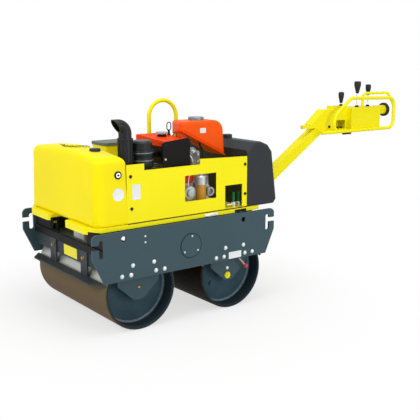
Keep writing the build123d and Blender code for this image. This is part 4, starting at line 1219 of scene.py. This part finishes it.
@dataclass
class EndFittings:
    """Bracket bolts, black plates of painted shade, pivot pin heads, the blank label and the water pipes at
    the ends.
    """

    bench: Bench
    cross_face: float = 482.0
    ear: Pair = (204.0, 387.0)              # raised ends of a cross plate, across
    ear_height: Pair = (432.0, 497.0)
    # Black plates of painted shade on the cross plates' ears:
    shade_plate_thick: float = 3.0
    shade_plate_corner: float = 4.0
    bracket_face: float = 490.0
    bracket_y: float = 171.0
    bolt_z: float = 356.0
    bracket_bolt: Bolt = Bolt(8.5, 6.5, 10.5)
    label_middle: Pair = (15.0, 355.0)
    label_size: Point = (54.0, 146.0, 3.0)  # height, width and corner
    hoses: Tuple[Tuple[float, Points], ...] = (
        (12.0, ((452.0, -185.0, 524.0), (452.0, -185.0, 470.0), (453.0, -185.0, 425.0),
                (462.0, -185.0, 402.0), (471.0, -185.0, 400.0))),
        (9.0, ((448.0, -228.0, 524.0), (448.0, -228.0, 470.0), (450.0, -226.0, 430.0),
               (462.0, -224.0, 412.0), (471.0, -224.0, 410.0))))
    tap_at: Point = (463.0, -180.0, 474.0)
    tap: Bolt = Bolt(6.0, 10.0, 8.0)
    pivot: Point = (-675.0, 50.0, 484.0)    # outer face of the pivot's left ear
    pin_head: Bolt = Bolt(19.0, 9.0, 23.0)

    def bolts(self) -> None:
        """Yellow-plated hexagon bolts, one on each bracket."""
        seats = [(spot(way[0] * self.bracket_face, side * self.bracket_y, self.bolt_z), way)
                 for way in (FRONT, REAR) for side in (-1.0, 1.0)]
        self.bench.place(self.bracket_bolt, seats, "bracket_bolts", "brass")

    def shade_plates(self) -> None:
        """Black plates on the ears of both cross plates, under the rubber blocks: painted shade under the
        base plate.
        """
        near, far = self.ear
        low, high = self.ear_height
        made = []
        for end in (-1.0, 1.0):
            for side in (-1.0, 1.0):
                x0, x1 = sorted((end * self.cross_face, end * (self.cross_face + self.shade_plate_thick)))
                y0, y1 = sorted((side * near, side * far))
                plate = self.bench.block(spot(x0, y0, low), spot(x1, y1, high))
                self.bench.soften(plate, Pick.EDGE, runs(FRONT), self.shade_plate_corner, 3)
                made.append(plate)
        self.bench.finish(self.bench.join(made), "shade_plates", "tie_black", "black_metal")

    def pivot_heads(self) -> None:
        """Heads of the drawbar's pivot pin, outside both ears."""
        self.bench.place(self.pin_head, both(*self.pivot), "pivot_pin_heads", "bright_steel")

    def label(self) -> None:
        """Blank yellow label on the front cross plate."""
        film = self.bench.label(*self.label_size)
        film.data.transform(Matrix.Rotation(math.pi / 2, 4, "Z"))
        seats = [(spot(self.cross_face, *self.label_middle), FRONT)]
        self.bench.place(film, seats, "blank_yellow_label", "yellow_film", "yellow_paint")

    def drain(self) -> None:
        """Two rigid black water pipes from the base plate to the front cross plate, one with a brass tap."""
        pipes = [self.bench.pipe(points, radius) for radius, points in self.hoses]
        self.bench.finish(self.bench.join(pipes), "water_pipes", "rubber")
        self.bench.place(self.tap, [(spot(*self.tap_at), FRONT)], "drain_tap", "brass")

    def build(self) -> None:
        """Makes all the fittings of the ends."""
        self.bolts()
        self.shade_plates()
        self.pivot_heads()
        self.label()
        self.drain()


@dataclass
class EngineFittings:
    """Bolts, rocker cover, pipes, lifting eye, cap, tank lip and bracket, and blank sticker of the engine."""

    bench: Bench
    gear_face: float = 255.0
    head_face: float = 240.0
    shield_face: float = 330.0
    fuel_face: float = 245.0
    gear_bolts: Pairs = (
        (-205.0, 668.0), (-160.0, 674.0), (-115.0, 673.0), (-20.0, 670.0), (-150.0, 592.0), (-20.0, 597.0))
    head_bolts: Pairs = ((-132.0, 846.0), (-70.0, 784.0))
    engine_bolt: Bolt = Bolt(7.0, 5.5, 9.5)
    shield_screws: Pairs = ((-36.0, 832.0), (-36.0, 912.0), (98.0, 902.0))
    shield_screw: Bolt = Bolt(5.0, 3.5, 7.0, Head.SOCKET)
    stud_at: Pair = (100.0, 832.0)
    stud: Bolt = Bolt(3.8, 3.5, 5.0)
    cover_low: Point = (-186.0, 194.0, 768.0)
    cover_high: Point = (-150.0, 222.0, 846.0)
    cover_corner: float = 10.0
    cover_rim: Pair = (6.0, 12.0)           # width, and height of the middle over it
    cover_slope: Pair = (2.0, 2.0)          # of the middle's edge
    cover_bolts: Pairs = ((-168.0, 789.0), (-168.0, 825.0))
    cover_bolt: Bolt = Bolt(4.5, 4.5, 6.0)
    eye: Pair = (-61.0, 120.0)
    lid_at_eye: float = 924.0
    eye_ring: Pair = (12.5, 2.6)            # radii of the bend and of the wire
    eye_stretch: float = 16.0
    eye_height: float = 42.0                # middle of its lower bend over the lid
    eye_foot: Pair = (9.0, 10.0)            # radius and height
    eye_stem: Pair = (3.0, 19.0)            # step in from the foot, and height over it
    cap: Pair = (0.0, 145.0)
    lid_at_cap: float = 922.0
    neck: Pair = (24.0, 12.0)               # radius and height
    neck_step: Pair = (2.0, 6.0)            # step in, and height of what stands on it
    cap_disc: Pair = (30.0, 6.0)            # radius and height
    cap_edge: float = 2.0
    cap_crown: Pair = (4.0, 3.0)            # width and rise of its slope
    lip: Tuple[float, float, float, float] = (-343.0, -46.0, 92.0, 250.0)   # rear, front, far, near edge
    lip_thick: float = 4.0
    lip_corner: float = 12.0
    lip_skew: float = 52.0                  # how far its front falls back at the far side
    lip_slope: float = 147.0 / 292.0        # of the tank's underside
    lip_front: Point = (-48.0, 0.0, 959.5)
    bracket_low: Point = (-131.0, 139.0, 880.0)
    bracket_high: Point = (-87.0, 203.0, 915.5)
    bracket_corner: float = 4.0
    bracket_bolts: Pairs = ((154.0, 926.0), (186.0, 926.0))
    bracket_bolt: Bolt = Bolt(5.0, 5.0, 7.0)
    injector: Points = (
        (-74.0, 275.0, 672.0), (-74.0, 275.0, 720.0), (-98.0, 288.0, 752.0), (-100.0, 286.0, 800.0),
        (-88.0, 272.0, 838.0), (-85.0, 258.0, 842.0))
    injector_radius: float = 3.2
    fuel_pipe: Points = (
        (-139.0, 300.0, 724.0), (-139.0, 300.0, 775.0), (-166.0, 286.0, 806.0), (-196.0, 236.0, 846.0),
        (-200.0, 205.0, 870.0), (-200.0, 200.0, 892.0))
    fuel_radius: float = 5.0
    sticker_at: Pair = (-192.0, 953.0)
    sticker_size: Point = (38.0, 26.0, 3.0)     # width, height and corner

    def bolts(self) -> None:
        """Hexagon bolts of the gear cover and the cylinder head, and the shield's screws and stud."""
        seats = seats_on(LEFT, self.gear_face, self.gear_bolts)
        seats += seats_on(LEFT, self.head_face, self.head_bolts)
        self.bench.place(self.engine_bolt, seats, "engine_bolts", "bright_steel")
        seats = seats_on(LEFT, self.shield_face, self.shield_screws)
        self.bench.place(self.shield_screw, seats, "shield_screws", "dark_steel")
        seats = seats_on(LEFT, self.shield_face, [self.stud_at])
        self.bench.place(self.stud, seats, "shield_stud", "bright_steel")

    def cover(self) -> None:
        """Cast rocker cover beside the cylinder head, with a raised middle and two bolts."""
        cast = self.bench.block(spot(*self.cover_low), spot(*self.cover_high))
        self.bench.soften(cast, Pick.EDGE, runs(LEFT), self.cover_corner, 4)
        self.bench.pick(cast, Pick.FACE, faces(LEFT))
        width, rise = self.cover_rim
        self.bench.inset(width)
        self.bench.push(0.0, rise, 0.0)
        self.bench.inset(*self.cover_slope)
        self.bench.finish(cast, "rocker_cover", "engine_alloy")
        seats = seats_on(LEFT, self.cover_high[1] + rise + self.cover_slope[1], self.cover_bolts)
        self.bench.place(self.cover_bolt, seats, "rocker_bolts", "bright_steel")

    def pipes(self) -> None:
        """Steel injector pipe and black fuel pipe."""
        pipe = self.bench.pipe(self.injector, self.injector_radius)
        self.bench.finish(pipe, "injector_pipe", "bright_steel")
        pipe = self.bench.pipe(self.fuel_pipe, self.fuel_radius)
        self.bench.finish(pipe, "fuel_pipe", "rubber")

    def lifting_eye(self) -> None:
        """Tall dark lifting eye on the cowl."""
        loop = self.bench.ring(*self.eye_ring, 32, 12)
        self.bench.pick(loop, Pick.FACE, lambda middle, normal: middle.y > 0.0)
        self.bench.shift(0.0, self.eye_stretch, 0.0)
        self.bench.clear()
        place = Matrix.Translation(spot(*self.eye, self.lid_at_eye + self.eye_height))
        loop.data.transform(place @ Matrix.Rotation(math.pi / 2, 4, "X"))
        radius, height = self.eye_foot
        stem = self.bench.bar(radius, height, 24, spot(*self.eye, self.lid_at_eye + height / 2))
        self.bench.pick(stem, Pick.FACE, faces(UP))
        step, rise = self.eye_stem
        self.bench.inset(step)
        self.bench.push(0.0, 0.0, rise)
        self.bench.finish(self.bench.join([loop, stem]), "lifting_eye", "dark_steel")

    def cowl_cap(self) -> None:
        """Pale grey cap on a dark neck on the cowl."""
        radius, height = self.neck
        step, rise = self.neck_step
        neck = self.bench.bar(radius, height, 40, spot(*self.cap, self.lid_at_cap + height / 2))
        self.bench.pick(neck, Pick.FACE, faces(UP))
        self.bench.inset(step)
        self.bench.push(0.0, 0.0, rise)
        self.bench.finish(neck, "cowl_neck", "tie_black", "black_metal")
        foot = self.lid_at_cap + height + rise
        radius, height = self.cap_disc
        cap = self.bench.bar(radius, height, 40, spot(*self.cap, foot + height / 2))
        self.bench.soften(cap, Pick.FACE, faces(UP), self.cap_edge, 2)
        self.bench.inset(*self.cap_crown)
        self.bench.finish(cap, "cowl_cap", "light_grey")

    def seam(self) -> None:
        """Pressed lip round the slanted underside of the fuel tank."""
        rear, front, far, near = self.lip
        low, high = spot(rear, far, 0.0), spot(front, near, self.lip_thick)
        lip = self.bench.block(low, high)
        upright = runs(UP)
        self.bench.pick(lip, Pick.EDGE, lambda middle, way: upright(middle, way) and middle.x > high[0] - MM
                        and middle.y < low[1] + MM)
        self.bench.shift(-self.lip_skew, 0.0, 0.0)
        self.bench.soften(lip, Pick.EDGE, upright, self.lip_corner, 4)
        self.bench.clear()
        slant = Matrix.Identity(4)
        slant[2][0] = self.lip_slope
        front_x, _, front_z = spot(*self.lip_front)
        lip.data.transform(Matrix.Translation((0.0, 0.0, front_z - self.lip_slope * front_x)) @ slant)
        self.bench.finish(lip, "fuel_tank_lip", "engine_orange")

    def bracket(self) -> None:
        """Painted bracket round the post under the fuel tank, cut to the tank's slope, with two bolts."""
        high = spot(*self.bracket_high)
        shoe = self.bench.block(spot(*self.bracket_low), high)
        across = runs(LEFT)
        self.bench.pick(shoe, Pick.EDGE, lambda middle, way: across(middle, way) and middle.z > high[2] - MM
                        and middle.x > high[0] - MM)
        self.bench.shift(0.0, 0.0, (self.bracket_high[0] - self.bracket_low[0]) * self.lip_slope)
        self.bench.soften(shoe, Pick.EDGE, runs(UP), self.bracket_corner, 3)
        self.bench.finish(shoe, "tank_bracket", "engine_orange")
        seats = [(spot(self.bracket_high[0], y, z), FRONT) for y, z in self.bracket_bolts]
        self.bench.place(self.bracket_bolt, seats, "tank_bracket_bolts", "brass")

    def sticker(self) -> None:
        """Blank pale sticker on the fuel tank."""
        film = self.bench.label(*self.sticker_size)
        seats = seats_on(LEFT, self.fuel_face, [self.sticker_at])
        self.bench.place(film, seats, "fuel_tank_sticker", "white_film", "light_grey")

    def build(self) -> None:
        """Makes all the fittings of the engine."""
        self.bolts()
        self.cover()
        self.pipes()
        self.lifting_eye()
        self.cowl_cap()
        self.seam()
        self.bracket()
        self.sticker()


@dataclass
class IntakeFittings:
    """Bands and clamps of the air filter and the ribbed sleeve of the intake pipe."""

    bench: Bench
    filter_at: Pair = (209.0, 275.0)
    bands: Pairs = ((853.0, 885.0), (800.0, 843.0))
    band_radius: float = 61.5
    band_edge: float = 3.0
    clamps: Pairs = ((869.8, 874.2), (832.8, 837.2))
    clamp_radius: float = 62.7
    clamp_edge: float = 0.8
    pipe_at: Pair = (307.0, 292.0)
    sleeve_radius: float = 35.5
    sleeve: Pair = (806.0, 945.0)
    sides: int = 28
    rib_step: int = 2                       # every other side of the sleeve stands out
    rib_height: float = 2.5
    collar: Pair = (3.5, 9.0)               # how far it stands out, and its height
    collar_edge: float = 3.0

    def hoops(self, heights: Pairs, radius: float, edge: float) -> bpy.types.Object:
        """Models round hoops on the filter's housing and joins them.

        Args:
            heights: lower and upper edge of each hoop.
            radius: outer radius.
            edge: rounding of the edges.

        Returns:
            The hoops as one piece.
        """
        made = []
        for low, high in heights:
            hoop = self.bench.bar(radius, high - low, 64, spot(*self.filter_at, (low + high) / 2))
            self.bench.soften(hoop, Pick.FACE, runs(UP), edge, 2)
            made.append(hoop)
        return self.bench.join(made)

    def filter_bands(self) -> None:
        """Two raised bands round the filter's housing, each with a thin metal clamp."""
        bands = self.hoops(self.bands, self.band_radius, self.band_edge)
        self.bench.finish(bands, "filter_bands", "filter_black", "black_plastic")
        clamps = self.hoops(self.clamps, self.clamp_radius, self.clamp_edge)
        self.bench.finish(clamps, "filter_clamps", "cap_grey", "bright_steel")

    def pipe_sleeve(self) -> None:
        """Sleeve with upright ribs and a rolled top edge."""
        low, high = self.sleeve
        middle = Vector(spot(*self.pipe_at, (low + high) / 2))
        sleeve = self.bench.bar(self.sleeve_radius, high - low, self.sides, tuple(middle))
        ends = runs(UP)

        def rib(place: Vector, normal: Vector) -> bool:
            """True for every other upright side."""
            turn = math.atan2(place.y - middle.y, place.x - middle.x) / math.tau * self.sides
            return not ends(place, normal) and math.floor(turn) % self.rib_step == 0
        self.bench.pick(sleeve, Pick.FACE, rib)
        bpy.ops.mesh.extrude_region_shrink_fatten(TRANSFORM_OT_shrink_fatten={"value": self.rib_height * MM})
        out, height = self.collar
        collar = self.bench.bar(self.sleeve_radius + out, height, 48, spot(*self.pipe_at, high))
        self.bench.soften(collar, Pick.FACE, ends, self.collar_edge, 3)
        self.bench.finish(self.bench.join([sleeve, collar]), "intake_sleeve", "filter_black", "black_plastic")

    def build(self) -> None:
        """Makes all the fittings of the air intake."""
        self.filter_bands()
        self.pipe_sleeve()


@dataclass
class HandleFittings:
    """Bolts, cable ends and bushes of the console and the pad of its guard loop."""

    bench: Bench
    body: str = "handle"
    neck_at: Point = (-1347.0, 34.0, 893.0)     # on the neck's left side
    neck_bolt: Bolt = Bolt(7.0, 4.0, 9.0, Head.SOCKET)
    plugs: Points = ((-1412.0, 22.0, 868.0), (-1440.0, 16.0, 868.0), (-1466.0, 22.0, 868.0))
    plug: Bolt = Bolt(6.0, 16.0, 8.0)
    levers: Points = ((-1463.0, 20.0, 1021.0), (-1613.0, 20.0, 1008.0), (-1717.0, 20.0, 1008.0))
    bush: Pair = (14.0, 4.0)                # radius and thickness
    bush_step: Pair = (4.0, 7.0)            # step in, and height of what stands on it
    bush_edge: float = 2.0
    rail: Point = (95.0, 864.0, 11.0)       # y, z and radius of the loop's lower rail
    pad_ends: Pair = (-1481.0, -1409.0)
    pad_half: float = 7.0
    pad_drop: Pair = (9.0, 1.0)             # below the rail, and up into it
    pad_edge: float = 4.0

    def bolts(self) -> None:
        """Dark bolts in the neck's sides, and the cable ends."""
        self.bench.place(self.neck_bolt, both(*self.neck_at), "neck_bolts", "dark_steel", body=self.body)
        seats = [(spot(*place), UP) for place in self.plugs]
        self.bench.place(self.plug, seats, "cable_ends", "dark_steel", body=self.body)

    def bushes(self) -> None:
        """Rubber bushes at the feet of the levers."""
        bush = self.bench.disc(*self.bush, 28)
        self.bench.pick(bush, Pick.FACE, faces(UP))
        step, rise = self.bush_step
        self.bench.inset(step)
        self.bench.push(0.0, 0.0, rise)
        self.bench.bevel(self.bush_edge, 2)
        seats = [(spot(*place), UP) for place in self.levers]
        self.bench.place(bush, seats, "lever_bushes", "rubber", body=self.body)

    def rail_pad(self) -> None:
        """Dark pad under the loop's lower rail."""
        y, z, radius = self.rail
        down, into = self.pad_drop
        low = spot(self.pad_ends[0], y - self.pad_half, z - radius - down)
        pad = self.bench.block(low, spot(self.pad_ends[1], y + self.pad_half, z - radius + into))
        self.bench.soften(pad, Pick.EDGE, lambda middle, way: middle.z < low[2] + MM, self.pad_edge, 3)
        self.bench.finish(pad, "rail_pad", "rubber", body=self.body)

    def build(self) -> None:
        """Makes all the fittings of the handle."""
        self.bolts()
        self.bushes()
        self.rail_pad()


@dataclass(frozen=True)
class Lamp:
    """A soft box, in metres from the floor point midway between the axles."""

    name: str
    place: Point
    power: float                            # watts
    size: float                             # side of the box


@dataclass
class Studio:
    """Camera, floor, backdrop and soft light."""

    stand: Point = (2.13429, 3.42006, 1.33507)
    azimuth: float = 143.227
    elevation: float = 11.605
    lens: float = 64.21
    sensor: float = 36.0
    far: float = 100.0
    floor_size: float = 60.0
    floor_white: float = 0.80
    floor_rough: float = 0.9
    near_glow: float = 0.66                 # share of plain white in the floor beside the object
    glow_reach: Pair = (0.45, 1.4)          # distances between which it rises to plain white
    sky: float = 0.45
    aim_height: float = 500.0
    lamps: Tuple[Lamp, ...] = (
        Lamp("key_box", (-0.3, 1.1, 4.6), 80.0, 2.6), Lamp("fill_box", (3.7, 0.8, 2.9), 86.0, 2.2),
        Lamp("side_box", (-1.0, 4.6, 1.7), 66.0, 2.4))

    def camera(self) -> None:
        """Puts the camera where the photograph was taken from."""
        data = bpy.data.cameras.new("studio_camera")
        data.lens = self.lens
        data.sensor_width = self.sensor
        data.sensor_fit = "HORIZONTAL"
        data.clip_end = self.far
        camera = bpy.data.objects.new("studio_camera", data)
        camera.location = (self.stand[0] + SHIFT, self.stand[1], self.stand[2])
        turn, rise = math.radians(self.azimuth), math.radians(self.elevation)
        back = Vector((math.sin(turn) * math.cos(rise), -math.cos(turn) * math.cos(rise), math.sin(rise)))
        camera.rotation_euler = (-back).to_track_quat("-Z", "Y").to_euler()
        bpy.context.collection.objects.link(camera)
        bpy.context.scene.camera = camera

    def floor(self) -> None:
        """Pale floor that keeps the shadow near the object and runs out to white."""
        Bench.clear()
        bpy.ops.mesh.primitive_plane_add(size=self.floor_size, location=(0.0, 0.0, 0.0))
        floor = bpy.context.object
        floor.name = "studio_floor"
        shade = Shader("studio_floor")
        shade.dress(base_color=(self.floor_white,) * 3, roughness=self.floor_rough, specular_ior_level=0.0)
        dx, dy = shade.along("X") - SHIFT, shade.along("Y")
        away = (dx * dx + dy * dy) ** 0.5
        share = shade.seen() * (self.near_glow + away.rise(*self.glow_reach) * (1.0 - self.near_glow))
        glow = shade.node("ShaderNodeEmission", None, {0: WHITE})
        plain_floor = Sock(shade, shade.body.outputs[0])
        mixed = shade.node("ShaderNodeMixShader", None, {0: share, 1: plain_floor, 2: glow})
        shade.feed(shade.output.inputs[0], mixed)
        floor.data.materials.append(shade.material)

    def backdrop(self) -> None:
        """White backdrop to the eye and in gloss, soft grey light to the surfaces."""
        world = bpy.data.worlds.new("studio_world")
        world.use_nodes = True
        bpy.context.scene.world = world
        graph = Graph(world.node_tree)
        soft = graph.node("ShaderNodeBackground", None, {0: WHITE, 1: self.sky})
        white = graph.node("ShaderNodeBackground", None, {0: WHITE, 1: 1.0})
        mixed = graph.node("ShaderNodeMixShader", None, {0: graph.seen(), 1: soft, 2: white})
        graph.node("ShaderNodeOutputWorld", None, {0: mixed})

    def light(self) -> None:
        """Key from above the near side, fill from the tank end and weak light on the side."""
        aim = Vector(spot(0.0, 0.0, self.aim_height))
        for box in self.lamps:
            data = bpy.data.lights.new(box.name, "AREA")
            data.energy = box.power
            data.size = box.size
            lamp = bpy.data.objects.new(box.name, data)
            place = Vector((box.place[0] + SHIFT, box.place[1], box.place[2]))
            lamp.location = place
            lamp.rotation_euler = (aim - place).to_track_quat("-Z", "Y").to_euler()
            bpy.context.collection.objects.link(lamp)

    def build(self) -> None:
        """Makes the whole studio."""
        bpy.context.scene.view_settings.view_transform = "Standard"
        self.camera()
        self.floor()
        self.backdrop()
        self.light()


def main() -> None:
    """Loads the frame, dresses it, adds the fittings and sets the studio."""
    logging.basicConfig(level=logging.INFO, format="%(message)s")
    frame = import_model()
    palette = Palette()
    Dressing(palette).apply(frame)
    bench = Bench(palette)
    for fittings in (SidePlateFittings, TankFittings, PanelFittings, EndFittings, EngineFittings,
                     IntakeFittings, HandleFittings):
        fittings(bench).build()
        log.info("built %s", fittings.__name__)
    Studio().build()


if __name__ == "__main__":
    main()
